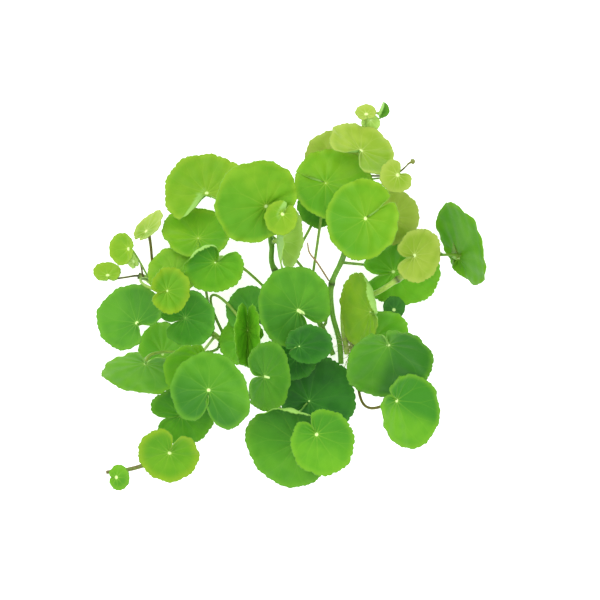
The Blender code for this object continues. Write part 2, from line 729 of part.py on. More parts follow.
@dataclass
class Layout:
    """Where everything lies: petiole tops, petiole curves and stem paths, by name."""

    places: dict
    petioles: dict
    stems: dict


def arrange():
    """Settles every blade, then finds every petiole's way."""
    neighbours = Neighbours()
    layout = Layout({}, {}, stem_routes())
    for leaf in UNDER_STEMS:
        layout.places[leaf.name] = settle(leaf, neighbours)
    for name, (path, radii) in layout.stems.items():
        neighbours.add(name, tube_solid(path, radii))
    for leaf in OVER_STEMS:
        layout.places[leaf.name] = settle(leaf, neighbours)
    root = free_root_path()
    neighbours.add("free_root", tube_solid(root, [ROOT_RADIUS] * len(root)))
    neighbours.add("flower_bud", tube_solid([Vector(point) for point in BUD_ROUTE], BUD_RADII))
    for leaf in LEAVES:
        handles = route(leaf, layout.places[leaf.name], layout.stems[leaf.stem][0], neighbours)
        layout.petioles[leaf.name] = handles
        radii = [petiole_radius(leaf)] * (PETIOLE_STEPS + 1)
        neighbours.add(leaf.name + "_petiole", tube_solid(petiole_path(handles), radii))
    return layout


def middle_of(bodies):
    """Shift that brings the middle of all blades over the origin."""
    corners = [corner for points, _ in bodies for corner in points]
    low = Vector((min(c.x for c in corners), min(c.y for c in corners), 0.0))
    high = Vector((max(c.x for c in corners), max(c.y for c in corners), 0.0))
    return (low + high) * -0.5


def main():
    """Builds the whole bunch."""
    clear_scene()
    collection = bpy.data.collections.new(COLLECTION)
    bpy.context.scene.collection.children.link(collection)
    layout = arrange()
    solids = [leaf_solid(leaf, layout.places[leaf.name], layout.petioles[leaf.name]) for leaf in LEAVES]
    shift = middle_of(solids)
    for leaf, (corners, faces) in zip(LEAVES, solids):
        add_mesh(collection, leaf.name, leaf.tone, corners, faces, shift)
    for name, (path, radii) in layout.stems.items():
        add_tube(collection, name, "stem_green", path, radii, shift)
    root = free_root_path()
    add_tube(collection, "free_root", "root_pale", root, [ROOT_RADIUS] * len(root), shift)
    bud = [Vector(point) for point in BUD_ROUTE]
    add_tube(collection, "flower_bud", "leaf_dark", bud, BUD_RADII, shift)
    add_mesh(collection, "root_wad", "root_pale", *wad_solid(), shift)


if __name__ == "__main__":
    main()
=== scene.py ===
"""Brazilian pennywort, a loose bunch cut and laid down: the looks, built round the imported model.

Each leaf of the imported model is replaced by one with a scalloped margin, veins and a smooth petiole, which
sits where the solid sits. Lengths are in millimetres and angles in degrees until a mesh is made.
"""

import logging
import math
from dataclasses import dataclass
from enum import Enum

import bpy
import numpy as np
from mathutils import Matrix, Vector


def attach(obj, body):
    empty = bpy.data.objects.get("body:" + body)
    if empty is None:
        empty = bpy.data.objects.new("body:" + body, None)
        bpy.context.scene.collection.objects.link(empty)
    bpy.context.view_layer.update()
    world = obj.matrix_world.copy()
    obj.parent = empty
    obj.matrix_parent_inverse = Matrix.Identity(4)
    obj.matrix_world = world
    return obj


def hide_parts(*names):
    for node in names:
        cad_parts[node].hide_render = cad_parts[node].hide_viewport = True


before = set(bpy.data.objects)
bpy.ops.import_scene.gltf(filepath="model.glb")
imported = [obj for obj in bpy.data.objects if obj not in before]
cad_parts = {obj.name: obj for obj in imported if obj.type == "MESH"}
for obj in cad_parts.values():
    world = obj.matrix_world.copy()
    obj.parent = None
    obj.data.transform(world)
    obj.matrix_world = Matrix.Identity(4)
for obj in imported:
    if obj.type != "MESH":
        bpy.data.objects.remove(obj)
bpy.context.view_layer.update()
LOG = logging.getLogger("pennywort")

MM = 0.001
TURN = 2.0 * math.pi

# The blade's form, the same as in the solids
NOTCH_DEPTH_LEFT = 0.12
NOTCH_ROOM = 3.2
WAVES = 3
PETIOLE_RADIUS = 0.75
SMALL_PETIOLE_RADIUS = 0.5
SMALL_LEAF = 9.5
COLLAR = 1.5
STEM_RADIUS = 1.35
KNOT = 1.45

# The margin's scallops: their size, how they drift round the margin, and the lobes under them
SCALLOP_PITCH = 2.5
SCALLOP_DEPTH = 0.7
SCALLOP_SHARE = 0.6
SCALLOPS_FROM = 0.8
DEEPEST_FROM = 12.0
DRIFTS = ((0.05, 5.0), (0.03, 11.0))
LOBES = 9
SLOW_LOBES = 4
LOBE_SHARES = (0.5, 0.3, 0.2)
LOBE_DEPTH = 0.045
POINTS_PER_SCALLOP = 6
FEWEST_SECTORS = 90
NOTCH_CROWDING = 0.45

# The blade's skin: pillows between sunken veins, a fluttering rim, shallow dents and a folded strip
UPPER_SHARES = (0.04, 0.1, 0.18, 0.27, 0.36, 0.45, 0.54, 0.62, 0.7, 0.77, 0.83, 0.88, 0.92, 0.955, 0.98, 1.0)
LOWER_STEPS = (1.0, 0.96, 0.86, 0.72, 0.5, 0.25, 0.0)
THICK_MIDDLE = 0.75
THICK_RIM = 0.38
VEINS_LARGE = 11
VEINS_SMALL = 9
VEIN_MARGIN = 0.62
VEIN_WOBBLE = 0.1
VEIN_WOBBLES = 4.0
PILLOW = 0.24
PILLOW_FALL = 0.8
FULL_PILLOW_RADIUS = 15.0
FLUTTERS = 7
FLUTTER = 0.02
FRILLS = 17
FRILL = 0.012
DENT = 0.018
DENT_LENGTH = 11.0
FLAP_LIFT = 0.5
FLAP_EDGE = 0.7
FLAP_FROM = 1.6

# The least angle that counts as a curl, and how dark the painted shade already is at its near edge
LEAST_BEND = 0.001
PAINTED_SHADE_START = 0.45

# The petiole: its rings, its flares at the blade and at the stem, and how far it runs into the stem
PETIOLE_SIDES = 12
PETIOLE_RINGS = 18
RINGS_OF_SOLID = 5
COLLAR_RUN = 0.12
COLLAR_ROOM = 1.25
STEM_FLARE = 0.2
WAIST = 0.08
INTO_STEM = 0.45


def linear(colour: str) -> tuple[float, ...]:
    """Turns an sRGB hex colour, with its hash sign, to red, green, blue and alpha in linear light."""
    shares = [int(colour[k:k + 2], 16) / 255.0 for k in (1, 3, 5)]
    return (*(c / 12.92 if c <= 0.04045 else ((c + 0.055) / 1.055) ** 2.4 for c in shares), 1.0)


def heading(degrees: float) -> np.ndarray:
    """Gives the level unit vector that points at an angle."""
    angle = math.radians(degrees)
    return np.array([math.cos(angle), math.sin(angle), 0.0])


def add_node(tree: bpy.types.NodeTree, kind: str, links: dict | None = None, **settings) -> bpy.types.Node:
    """Adds a node with its links and settings.

    Args:
        tree: The material's or the geometry's node tree.
        kind: The node's type.
        links: For each input, by name or number, a value, an output or a node whose first output is meant.
        **settings: The node's own properties.

    Returns:
        The new node.
    """
    node = tree.nodes.new(kind)
    for name, value in settings.items():
        setattr(node, name, value)
    for key, value in (links or {}).items():
        source = value.outputs[0] if isinstance(value, bpy.types.Node) else value
        if isinstance(source, bpy.types.NodeSocket):
            tree.links.new(source, node.inputs[key])
        else:
            node.inputs[key].default_value = source
    return node


@dataclass(frozen=True)
class Finish:
    """What all finishes share: a name, a bumpy shader, and a pattern that is bound to the piece."""

    name: str

    def paint(self, tree: bpy.types.NodeTree, places: bpy.types.NodeSocket) -> tuple[dict, dict]:
        """Adds the finish's own nodes.

        Args:
            tree: The material's tree.
            places: The place on the piece.

        Returns:
            The inputs of the shader, and those of its bump.
        """
        raise NotImplementedError

    def material(self) -> bpy.types.Material:
        """Builds the finish as a material.

        Returns:
            The material.
        """
        made = bpy.data.materials.new(self.name)
        made.use_nodes = True
        tree = made.node_tree
        tree.nodes.clear()
        places = add_node(tree, "ShaderNodeTexCoord").outputs["Object"]
        inputs, bump = self.paint(tree, places)
        normal = add_node(tree, "ShaderNodeBump", bump)
        shader = add_node(tree, "ShaderNodeBsdfPrincipled", {**inputs, "Normal": normal})
        add_node(tree, "ShaderNodeOutputMaterial", {"Surface": shader})
        return made


@dataclass(frozen=True)
class LeafFinish(Finish):
    """Living leaf blade: a waxy satin skin, cloudy green, with paler veins, a pale eye and a thin olive rim.

    Its veins and the grain of its skin are too fine to show, so both are drawn coarser.
    """

    lamina: str
    deep: str
    glow: str
    # The colour of the painted shade over one side of the blade, which the thin rim is drawn in too
    painted_shade: str
    vein: str
    under: str = "#86b454"
    eye: str = "#cdea96"
    roughness: float = 0.5
    specular: float = 0.16
    bump: float = 0.22
    bump_mm: float = 0.12
    cloud_mm: float = 11.0
    cloud_range: tuple[float, float] = (0.36, 0.66)
    cell_mm: float = 0.9
    cell_range: tuple[float, float] = (0.3, 0.7)
    gloss_range: tuple[float, float] = (-0.06, 0.08)
    main_mm: float = 0.42
    fork_mm: float = 0.3
    fork_from: float = 0.42
    fork_run: float = 0.08
    fork_spread: float = 0.26
    fade_from: float = 0.05
    fade_left: float = 0.3
    vein_share: float = 0.26
    ray_share: float = 0.85
    ray_mm: float = 4.5
    rim_from: float = 0.05
    rim_mm: float = 0.5
    rim_share: float = 0.3
    glow_mm: float = 4.2
    glow_share: float = 0.65
    eye_mm: float = 1.15

    def vein_lines(self, tree: bpy.types.NodeTree) -> bpy.types.Node:
        """Adds the nodes that draw veins which fan out from the petiole and fork towards the margin.

        Args:
            tree: The material's tree.

        Returns:
            The node whose output is 1 on a vein and 0 off it.
        """
        chart = add_node(tree, "ShaderNodeUVMap", uv_map="veins")
        number, share, _ = add_node(tree, "ShaderNodeSeparateXYZ", {0: chart}).outputs
        apart = add_node(tree, "ShaderNodeAttribute", attribute_name="apart").outputs["Fac"]
        off = add_node(tree, "ShaderNodeMath", {0: number, 1: 0.5}, operation="PINGPONG")
        spread = add_node(tree, "ShaderNodeMapRange",
                          {0: share, 1: self.fork_from, 2: 1.0, 3: 0.0, 4: self.fork_spread},
                          interpolation_type="SMOOTHSTEP")
        aside = add_node(tree, "ShaderNodeMath", {0: off, 1: spread}, operation="SUBTRACT")
        fork_off = add_node(tree, "ShaderNodeMath", {0: aside}, operation="ABSOLUTE")
        lines = []
        for away, width in ((off, self.main_mm), (fork_off, self.fork_mm)):
            away_mm = add_node(tree, "ShaderNodeMath", {0: away, 1: apart}, operation="MULTIPLY")
            lines.append(add_node(tree, "ShaderNodeMapRange", {0: away_mm, 1: 0.0, 2: width, 3: 1.0, 4: 0.0},
                                  interpolation_type="SMOOTHSTEP"))
        gate = add_node(tree, "ShaderNodeMapRange",
                        {0: share, 1: self.fork_from, 2: self.fork_from + self.fork_run, 3: 0.0, 4: 1.0})
        line = add_node(tree, "ShaderNodeMix", {0: gate, 2: lines[0], 3: lines[1]}, data_type="FLOAT")
        fade = add_node(tree, "ShaderNodeMapRange",
                        {0: share, 1: self.fade_from, 2: 1.0, 3: 1.0, 4: self.fade_left})
        return add_node(tree, "ShaderNodeMath", {0: line, 1: fade}, operation="MULTIPLY")

    def paint(self, tree: bpy.types.NodeTree, places: bpy.types.NodeSocket) -> tuple[dict, dict]:
        """Lays clouds, painted shade on one side, the glowing margin, veins, rim, eye and underside over the
        lamina.

        Args:
            tree: The material's tree.
            places: The place on the piece.

        Returns:
            The inputs of the shader, and those of its bump.
        """
        out, edge, under, painted_shade, middle = (
            add_node(tree, "ShaderNodeAttribute", attribute_name=name).outputs["Fac"]
            for name in ("out", "edge", "under", "painted_shade", "eye")
        )
        cloud, cells = (
            add_node(tree, "ShaderNodeTexNoise",
                     {"Vector": places, "Scale": 1.0 / (size * MM), "Detail": detail})
            for size, detail in ((self.cloud_mm, 2.0), (self.cell_mm, 3.0))
        )
        line = self.vein_lines(tree)
        patches, glow, bold, rim, eye = (
            add_node(tree, "ShaderNodeMapRange", dict(enumerate(ends)), interpolation_type="SMOOTHSTEP")
            for ends in (
                (cloud, *self.cloud_range, 0.0, 1.0),
                (edge, 0.0, self.glow_mm, self.glow_share, 0.0),
                (out, 0.0, self.ray_mm, self.ray_share, self.vein_share),
                (edge, self.rim_from, self.rim_mm, self.rim_share, 0.0),
                (middle, 0.5 * self.eye_mm, self.eye_mm, 1.0, 0.0),
            )
        )
        strength = add_node(tree, "ShaderNodeMath", {0: line, 1: bold}, operation="MULTIPLY")
        colour = linear(self.lamina)
        for share, over in (
            (patches, self.deep),
            # Painted shade: one side of the blade darkened as if in shadow
            (painted_shade, self.painted_shade),
            (glow, self.glow),
            (strength, self.vein),
            # The thin rim is drawn in the painted shade's colour
            (rim, self.painted_shade),
            (eye, self.eye),
            (under, self.under),
        ):
            mix = add_node(tree, "ShaderNodeMix", {0: share, 6: colour, 7: linear(over)}, data_type="RGBA")
            colour = mix.outputs[2]
        lowest, highest = self.cell_range
        smooth, rough = (self.roughness + more for more in self.gloss_range)
        gloss = add_node(tree, "ShaderNodeMapRange", {0: cells, 1: lowest, 2: highest, 3: smooth, 4: rough})
        height = add_node(tree, "ShaderNodeMath", {0: cells, 1: line}, operation="SUBTRACT")
        return (
            {"Base Color": colour, "Roughness": gloss, "Specular IOR Level": self.specular},
            {"Strength": self.bump, "Distance": self.bump_mm * MM, "Height": height},
        )


@dataclass(frozen=True)
class StalkFinish(Finish):
    """Juicy stalk: smooth and moist, paler under the blade, faintly streaked, and dark at its knots."""

    top: str
    base: str
    knot: str = "#26340f"
    streak_mm: float = 1.6
    streak_range: tuple[float, float] = (0.35, 0.65)
    drift: float = 0.25
    roughness: float = 0.34
    specular: float = 0.3
    bump: float = 0.2
    bump_mm: float = 0.1

    def paint(self, tree: bpy.types.NodeTree, places: bpy.types.NodeSocket) -> tuple[dict, dict]:
        """Blends the top's colour into the base's along the stalk, and darkens the knots.

        Args:
            tree: The material's tree.
            places: The place on the piece.

        Returns:
            The inputs of the shader, and those of its bump.
        """
        along, knot = (
            add_node(tree, "ShaderNodeAttribute", attribute_name=name).outputs["Fac"]
            for name in ("along", "knot")
        )
        streaks = add_node(tree, "ShaderNodeTexNoise",
                           {"Vector": places, "Scale": 1.0 / (self.streak_mm * MM), "Detail": 3.0})
        lowest, highest = self.streak_range
        drift = add_node(tree, "ShaderNodeMapRange",
                         {0: streaks, 1: lowest, 2: highest, 3: -self.drift, 4: self.drift})
        blend = add_node(tree, "ShaderNodeMath", {0: along, 1: drift}, operation="ADD", use_clamp=True)
        colour = linear(self.top)
        for share, over in ((blend, self.base), (knot, self.knot)):
            mix = add_node(tree, "ShaderNodeMix", {0: share, 6: colour, 7: linear(over)}, data_type="RGBA")
            colour = mix.outputs[2]
        return (
            {"Base Color": colour, "Roughness": self.roughness, "Specular IOR Level": self.specular},
            {"Strength": self.bump, "Distance": self.bump_mm * MM, "Height": streaks},
        )


@dataclass(frozen=True)
class FloorFinish(Finish):
    """Opal acrylic of a softly lit studio table: even and white, with next to no shadow."""

    name: str = "opal acrylic, softly lit"
    colour: str = "#fbfbfa"
    grain_mm: float = 4.0
    roughness: float = 0.85
    specular: float = 0.1
    glow: float = 0.65
    bump: float = 0.02
    bump_mm: float = 0.1

    def paint(self, tree: bpy.types.NodeTree, places: bpy.types.NodeSocket) -> tuple[dict, dict]:
        """Lights the even white from within and gives it a soft grain.

        Args:
            tree: The material's tree.
            places: The place on the piece.

        Returns:
            The inputs of the shader, and those of its bump.
        """
        white = linear(self.colour)
        grain = add_node(tree, "ShaderNodeTexNoise",
                         {"Vector": places, "Scale": 1.0 / (self.grain_mm * MM), "Detail": 2.0})
        return (
            {"Base Color": white, "Roughness": self.roughness, "Specular IOR Level": self.specular,
             "Emission Color": white, "Emission Strength": self.glow},
            {"Strength": self.bump, "Distance": self.bump_mm * MM, "Height": grain},
        )


class Tone(Enum):
    """The leaves' finishes, from the youngest leaf to the oldest and most shaded one."""

    PALE = LeafFinish("pennywort blade, just opened", "#8da735", "#7f9e26", "#9baf4b", "#6b9414", "#a9ba60")
    YOUNG = LeafFinish("pennywort blade, young", "#77a01a", "#689914", "#83a623", "#538d0f", "#92b138")
    BRIGHT = LeafFinish("pennywort blade, bright", "#6ea018", "#609911", "#7ea820", "#488b11", "#8fb336")
    FRESH = LeafFinish("pennywort blade, fresh", "#5b9a14", "#4f9111", "#6aa11c", "#347a11", "#7cab2e")
    # A lighter copy of the blade colour: painted light for leaves that lie in shade low in the bunch
    LIT = LeafFinish("pennywort blade, lit through its neighbours",
                     "#69ac20", "#5ba41c", "#7ab62c", "#468f18", "#8dbd42")
    GROWN = LeafFinish("pennywort blade, grown", "#4e8d18", "#428314", "#5e9820", "#2e6e14", "#6ea131")
    DARK = LeafFinish("pennywort blade, old", "#4d9324", "#408720", "#5fa12f", "#30711e", "#71a941")
    DEEP = LeafFinish("pennywort blade, shaded", "#2c6e1a", "#205f16", "#3c7d21", "#164d12", "#4a882d")
    RIMMED = LeafFinish("pennywort blade, yellowing rim",
                        "#609815", "#549010", "#7ca11a", "#438312", "#84ad33", glow_mm=5.5, glow_share=0.95)
    SILVER = LeafFinish("pennywort blade, its underside",
                        "#a2c856", "#8dba40", "#b4d771", "#78aa2f", "#c3df84")


class Stalk(Enum):
    """The stalks' finishes."""

    GREEN = StalkFinish("pennywort petiole, green", "#86a83e", "#5f8a30")
    PALE = StalkFinish("pennywort petiole, pale", "#b9cf78", "#8fb04a")
    BROWN = StalkFinish("pennywort petiole, browned", "#6a6428", "#4a4319")
    STEM = StalkFinish("pennywort stem, green", "#74a83c", "#5c8c30")
    STEM_BROWN = StalkFinish("pennywort stem, browned towards its tip", "#74a83c", "#655c2a")
    STEM_PALE = StalkFinish("pennywort stem, pale", "#b6d068", "#93b64c")
    BUD = StalkFinish("pennywort bud, closed", "#6f7a30", "#4c5522")
    ROOT = StalkFinish("pennywort root, fresh", "#b9bd80", "#84824a", knot="#3d3a1c", roughness=0.5)
    ROOT_PINK = StalkFinish("pennywort root, reddened", "#ab8a70", "#937250", roughness=0.5)


class Palette:
    """Makes each finish's material once and hands it out."""

    def __init__(self) -> None:
        """Starts with no material made."""
        self.made: dict[str, bpy.types.Material] = {}

    def get(self, choice: Enum) -> bpy.types.Material:
        """Finds or makes the material of a finish.

        Args:
            choice: The finish as a member of its Enum.

        Returns:
            The material.
        """
        finish = choice.value
        if finish.name not in self.made:
            self.made[finish.name] = finish.material()
        return self.made[finish.name]


class Solid:
    """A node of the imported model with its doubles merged, in millimetres."""

    def __init__(self, name: str) -> None:
        """Reads the node's corners and which of them are joined.

        Args:
            name: The node's name.
        """
        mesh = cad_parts[name].data
        corners = np.array([vertex.co[:] for vertex in mesh.vertices])
        merged, index = np.unique(np.round(corners, 6), axis=0, return_inverse=True)
        index = index.ravel()
        self.points = merged / MM
        self.joined: list[set[int]] = [set() for _ in merged]
        for polygon in mesh.polygons:
            around = [int(index[k]) for k in polygon.vertices]
            for a in around:
                self.joined[a].update(b for b in around if b != a)

    def pole(self) -> int:
        """Finds the corner where most edges meet, which is the middle of a leaf's upper face."""
        return max(range(len(self.joined)), key=lambda k: len(self.joined[k]))

    def rings(self, start: int) -> list[np.ndarray]:
        """Walks over the surface from a corner, a ring at a time.

        Args:
            start: The first corner.

        Returns:
            The points of each ring, the first corner's own among them.
        """
        seen, ring, found = {start}, {start}, []
        while ring:
            found.append(self.points[sorted(ring)])
            ring = {b for a in ring for b in self.joined[a]} - seen
            seen |= ring
        return found


def stitch(first: np.ndarray, first_turns: np.ndarray,
           second: np.ndarray, second_turns: np.ndarray) -> np.ndarray:
    """Joins two rings of unlike counts by triangles.

    Args:
        first: Corner numbers of one ring.
        first_turns: Their angles round the ring, rising from 0.
        second: Corner numbers of the next ring.
        second_turns: Their angles.

    Returns:
        One row of corner numbers for each triangle.
    """
    faces, i, j = [], 0, 0
    while i < len(first) or j < len(second):
        next_first = first_turns[i + 1] if i + 1 < len(first) else TURN
        next_second = second_turns[j + 1] if j + 1 < len(second) else TURN
        a, b = first[i % len(first)], second[j % len(second)]
        if j >= len(second) or (i < len(first) and next_first <= next_second):
            i += 1
            faces.append((a, b, first[i % len(first)]))
        else:
            j += 1
            faces.append((a, b, second[j % len(second)]))
    return np.array(faces)


def fan(ring: np.ndarray, tip: int, closing: bool) -> np.ndarray:
    """Joins a ring to one corner by triangles.

    Args:
        ring: Corner numbers of the ring.
        tip: Number of the one corner.
        closing: True where the body ends there, and False where it starts.

    Returns:
        One row of corner numbers for each triangle.
    """
    onwards = np.roll(ring, -1)
    tips = np.full_like(ring, tip)
    return np.stack([ring, tips, onwards] if closing else [tips, ring, onwards], axis=1)


def numbered(count: int, sides: int, first: int) -> list[np.ndarray]:
    """Gives the corner numbers of so many rings of so many sides, from the first number on."""
    return [np.arange(sides) + first + k * sides for k in range(count)]


def strips(rings: list[np.ndarray]) -> np.ndarray:
    """Joins each ring to the next by four-sided faces, one row of corner numbers for each face."""
    pairs = zip(rings, rings[1:])
    return np.vstack([np.stack([a, b, np.roll(b, -1), np.roll(a, -1)], axis=1) for a, b in pairs])


def make_mesh(name: str, corners: np.ndarray, groups: list[tuple], materials: list,
              smooth: bool = True) -> bpy.types.Mesh:
    """Makes a mesh out of groups of faces.

    Args:
        name: The mesh's name.
        corners: The corners' places in metres.
        groups: For each group the faces' corner numbers, and the number of their material.
        materials: The materials in the order of their numbers.
        smooth: Whether its faces are shaded as one smooth skin.

    Returns:
        The mesh.
    """
    mesh = bpy.data.meshes.new(name)
    mesh.from_pydata(corners.tolist(), [], [[int(k) for k in face] for faces, _ in groups for face in faces])
    for material in materials:
        mesh.materials.append(material)
    slots = np.concatenate([np.full(len(faces), slot, np.int32) for faces, slot in groups])
    mesh.polygons.foreach_set("material_index", slots)
    if smooth:
        mesh.shade_smooth()
    return mesh


def set_marks(mesh: bpy.types.Mesh, marks: dict[str, np.ndarray]) -> None:
    """Stores a number for each corner of a mesh under each name."""
    for name, values in marks.items():
        mesh.attributes.new(name, "FLOAT", "POINT").data.foreach_set("value", values.astype(np.float32))


def tube_rings(path: np.ndarray, radii: np.ndarray, side: np.ndarray, sides: int) -> list[np.ndarray]:
    """Lays rings of points round a path, kept from twisting.

    Args:
        path: The path's points.
        radii: The tube's radius at each.
        side: The way from the first point to its ring's first corner.
        sides: How many corners a ring has.

    Returns:
        The points of each ring.
    """
    angles = np.arange(sides) * TURN / sides
    rings = []
    ways = np.gradient(path, axis=0)
    for middle, radius, way in zip(path, radii, ways):
        way = way / np.linalg.norm(way)
        side = side - way * (side @ way)
        side = side / np.linalg.norm(side)
        other = np.cross(way, side)
        rings.append(middle + radius * (np.outer(np.cos(angles), side) + np.outer(np.sin(angles), other)))
    return rings


def bezier(points: np.ndarray, count: int) -> np.ndarray:
    """Follows the cubic curve that a solid petiole's five points lie on.

    Args:
        points: The curve's points at its start, at each quarter and at its end.
        count: How many points to give.

    Returns:
        Points of the curve, evenly spread in its own measure.
    """
    start, quarter, _, three_quarters, end = points
    near, far = 0.75**3, 0.25**3
    u = quarter - near * start - far * end
    v = three_quarters - far * start - near * end
    whole = 72.0 * far
    first, second = (3.0 * u - v) / whole, (3.0 * v - u) / whole
    t = np.linspace(0.0, 1.0, count)[:, None]
    s = 1.0 - t
    return start * s**3 + first * 3.0 * s * s * t + second * 3.0 * s * t * t + end * t**3


def smooth_route(points: np.ndarray, step: float) -> np.ndarray:
    """Reads points from a smooth curve through a route's own points.

    Args:
        points: The route, one row a point: x, y and height, and any more columns that go with them.
        step: About how far apart the new points lie.

    Returns:
        The new points, with as many columns.
    """
    route = np.vstack([2.0 * points[0] - points[1], points, 2.0 * points[-1] - points[-2]])
    found = []
    for before, start, end, after in zip(route, route[1:], route[2:], route[3:]):
        pieces = max(1, round(float(np.linalg.norm((end - start)[:3])) / step))
        for t in np.arange(pieces) / pieces:
            found.append(0.5 * (
                2.0 * start
                + (end - before) * t
                + (2.0 * before - 5.0 * start + 4.0 * end - after) * t**2
                + (3.0 * start - before - 3.0 * end + after) * t**3
            ))
    return np.array([*found, points[-1]])


def link(name: str, mesh: bpy.types.Mesh) -> bpy.types.Object:
    """Puts a mesh in the scene as an object at the origin.

    Args:
        name: The piece's name.
        mesh: Its mesh.

    Returns:
        The object.
    """
    piece = bpy.data.objects.new(name, mesh)
    bpy.context.scene.collection.objects.link(piece)
    return piece


def settle_piece(piece: bpy.types.Object, node: str) -> None:
    """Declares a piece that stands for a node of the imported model.

    Args:
        piece: The finished piece.
        node: The node's name.
    """
    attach(piece, "root")
    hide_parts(node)
    LOG.info("%s stands for %s with %d faces", piece.name, node, len(piece.data.polygons))


@dataclass(frozen=True)
class Leaf:
    """One leaf: how its blade is shaped and lies, and what it looks like.

    x and y are the blade's place on the page, notch is the way that its notch opens, and shift is how far
    the petiole stands from the blade's middle towards the notch, beside the radius. The notch's sides start
    at wedge from its middle and reach the margin at gape. bulge draws the margin out towards bulge_at, and
    curl rolls it up towards curl_at. tuck draws the middle of the petiole in under the blade. flap is the
    width of the strip that is folded over along the notch's one side, and its sign tells which. tilt tips
    the side towards lean down, cup raises the margin, wave makes it rise and fall, and fold lifts both
    halves along the line of the notch. The painted shade is a darker colour laid over one side of the blade
    as if in shadow: it lies towards its heading, starts its given distance off the middle and takes its
    given softness to darken. eye is the size of the pale spot over the petiole, and slit draws it out to
    one side.

    Where a method asks for share and phi, these are shares of the way from the petiole to the margin, and
    angles from the middle of the notch.
    """

    name: str
    tone: Tone
    x: float
    y: float
    radius: float
    notch: float
    shift: float
    tilt: float
    lean: float
    cup: float = 0.1
    wave: float = 0.035
    fold: float = 0.0
    gape: float = 34.0
    wedge: float = 0.0
    bulge: float = 0.0
    bulge_at: float = 0.0
    curl: float = 0.0
    curl_at: float = 0.0
    curl_from: float = 0.72
    curl_power: float = 3.0
    tuck: float = 0.0
    flap: float = 0.0
    # Painted shade over one side of the blade: how strong, towards which way, where it starts and how softly
    painted_shade: float = 0.0
    painted_shade_at: float = 0.0
    painted_shade_from: float = 0.0
    painted_shade_soft: float = 1.1
    eye: float = 1.0
    slit: float = 0.0
    slit_at: float = 0.0
    stalk: Stalk = Stalk.GREEN

    def small(self) -> bool:
        """Tells whether the leaf is one of the small ones, with a thinner petiole and fewer veins."""
        return self.radius < SMALL_LEAF

    def stalk_radius(self) -> float:
        """Gives the petiole's radius."""
        return SMALL_PETIOLE_RADIUS if self.small() else PETIOLE_RADIUS

    def turn(self) -> np.ndarray:
        """Finds the rotation that tips the level blade's side towards lean down.

        Returns:
            The rotation's matrix.
        """
        lean = math.radians(self.lean)
        axis = Vector((-math.sin(lean), math.cos(lean), 0.0))
        return np.array(Matrix.Rotation(math.radians(self.tilt), 3, axis))

    def spot(self) -> np.ndarray:
        """Gives the petiole's top beside the middle of the tilted blade."""
        return self.turn() @ (self.shift * self.radius * heading(self.notch))

    def scallop_count(self) -> int:
        """Gives how many scallops the margin has."""
        return max(1, round(TURN * self.radius / SCALLOP_PITCH))

    def sectors(self) -> np.ndarray:
        """Spreads the points that the margin is drawn with, closest in the notch.

        Returns:
            Their angles from the middle of the notch.
        """
        count = max(FEWEST_SECTORS, POINTS_PER_SCALLOP * self.scallop_count())
        turns = np.arange(count) / count
        return TURN * turns - NOTCH_CROWDING * np.sin(TURN * turns)

    def margin(self, phi: np.ndarray) -> np.ndarray:
        """Gives the distance from the petiole to the plain margin.

        Args:
            phi: Angles from the middle of the notch.

        Returns:
            The distances.
        """
        across = self.shift * np.sin(phi)
        disc = np.sqrt(1.0 - across**2) - self.shift * np.cos(phi)
        wrapped = np.arctan2(np.sin(phi), np.cos(phi))
        beside = np.abs(wrapped) - math.radians(self.wedge)
        opened = np.clip(beside / math.radians(self.gape - self.wedge), 0.0, 1.0)
        left = max(NOTCH_DEPTH_LEFT, NOTCH_ROOM * self.stalk_radius() / self.radius)
        near_bulge = np.clip(np.cos(phi + math.radians(self.notch - self.bulge_at)), 0.0, None) ** 4
        disc = disc * (1.0 + self.bulge * near_bulge)
        return self.radius * disc * (left + (1.0 - left) * np.sqrt(opened * (2.0 - opened)))

    def scallops(self, share: np.ndarray, phi: np.ndarray) -> np.ndarray:
        """Gives how far scallops and lobes draw the blade in.

        Args:
            share: Shares of the way to the margin.
            phi: Angles from the notch.

        Returns:
            What is left of the way, which is 1 far from the margin.
        """
        count = self.scallop_count()
        (wide, few), (narrow, many) = DRIFTS
        uneven = phi + wide * np.sin(few * phi + self.x) + narrow * np.sin(many * phi + self.y)
        fine = 1.0 - np.abs(np.sin(0.5 * count * uneven))
        coarse = 1.0 - np.abs(np.sin(0.25 * count * uneven + self.y))
        even, quick, slow = LOBE_SHARES
        lobe = even + quick * np.cos(LOBES * phi + self.x) + slow * np.cos(SLOW_LOBES * phi + self.y)
        near = np.clip((share - SCALLOPS_FROM) / (1.0 - SCALLOPS_FROM), 0.0, 1.0) ** 2
        size = SCALLOP_DEPTH * min(1.0, self.radius / DEEPEST_FROM)
        depth = size * (SCALLOP_SHARE * fine**1.5 + SCALLOP_SHARE * coarse**2) / self.radius
        return 1.0 - near * depth - share**3 * LOBE_DEPTH * lobe

    def level(self, share: np.ndarray, phi: np.ndarray) -> np.ndarray:
        """Gives points of the plain level blade beside the petiole's top.

        Args:
            share: Shares of the way to the margin.
            phi: Angles from the notch.

        Returns:
            The points, with x, y and height as the last axis.
        """
        reach = self.margin(phi)
        height = self.radius * share**2 * (self.cup + self.wave * np.sin(WAVES * phi + self.x))
        turned = math.radians(self.notch) + phi - math.radians(self.curl_at)
        near = np.clip(np.cos(turned), 0.0, None) ** self.curl_power
        angle = math.radians(self.curl) * near * (share - self.curl_from) / (1.0 - self.curl_from)
        bent = (share > self.curl_from) & (angle > LEAST_BEND)
        safe = np.where(bent, angle, 1.0)
        strip = reach * (share - self.curl_from)
        out = np.where(bent, reach * self.curl_from + strip * np.sin(safe) / safe, reach * share)
        height = height + np.where(bent, strip * (1.0 - np.cos(safe)) / safe, 0.0)
        fold = math.radians(self.fold)
        along, across = out * np.cos(phi), out * np.sin(phi)
        height = height + np.abs(across) * math.sin(fold)
        across = across * math.cos(fold)
        ahead, aside, _ = heading(self.notch)
        return np.stack([along * ahead - across * aside, along * aside + across * ahead, height], axis=-1)

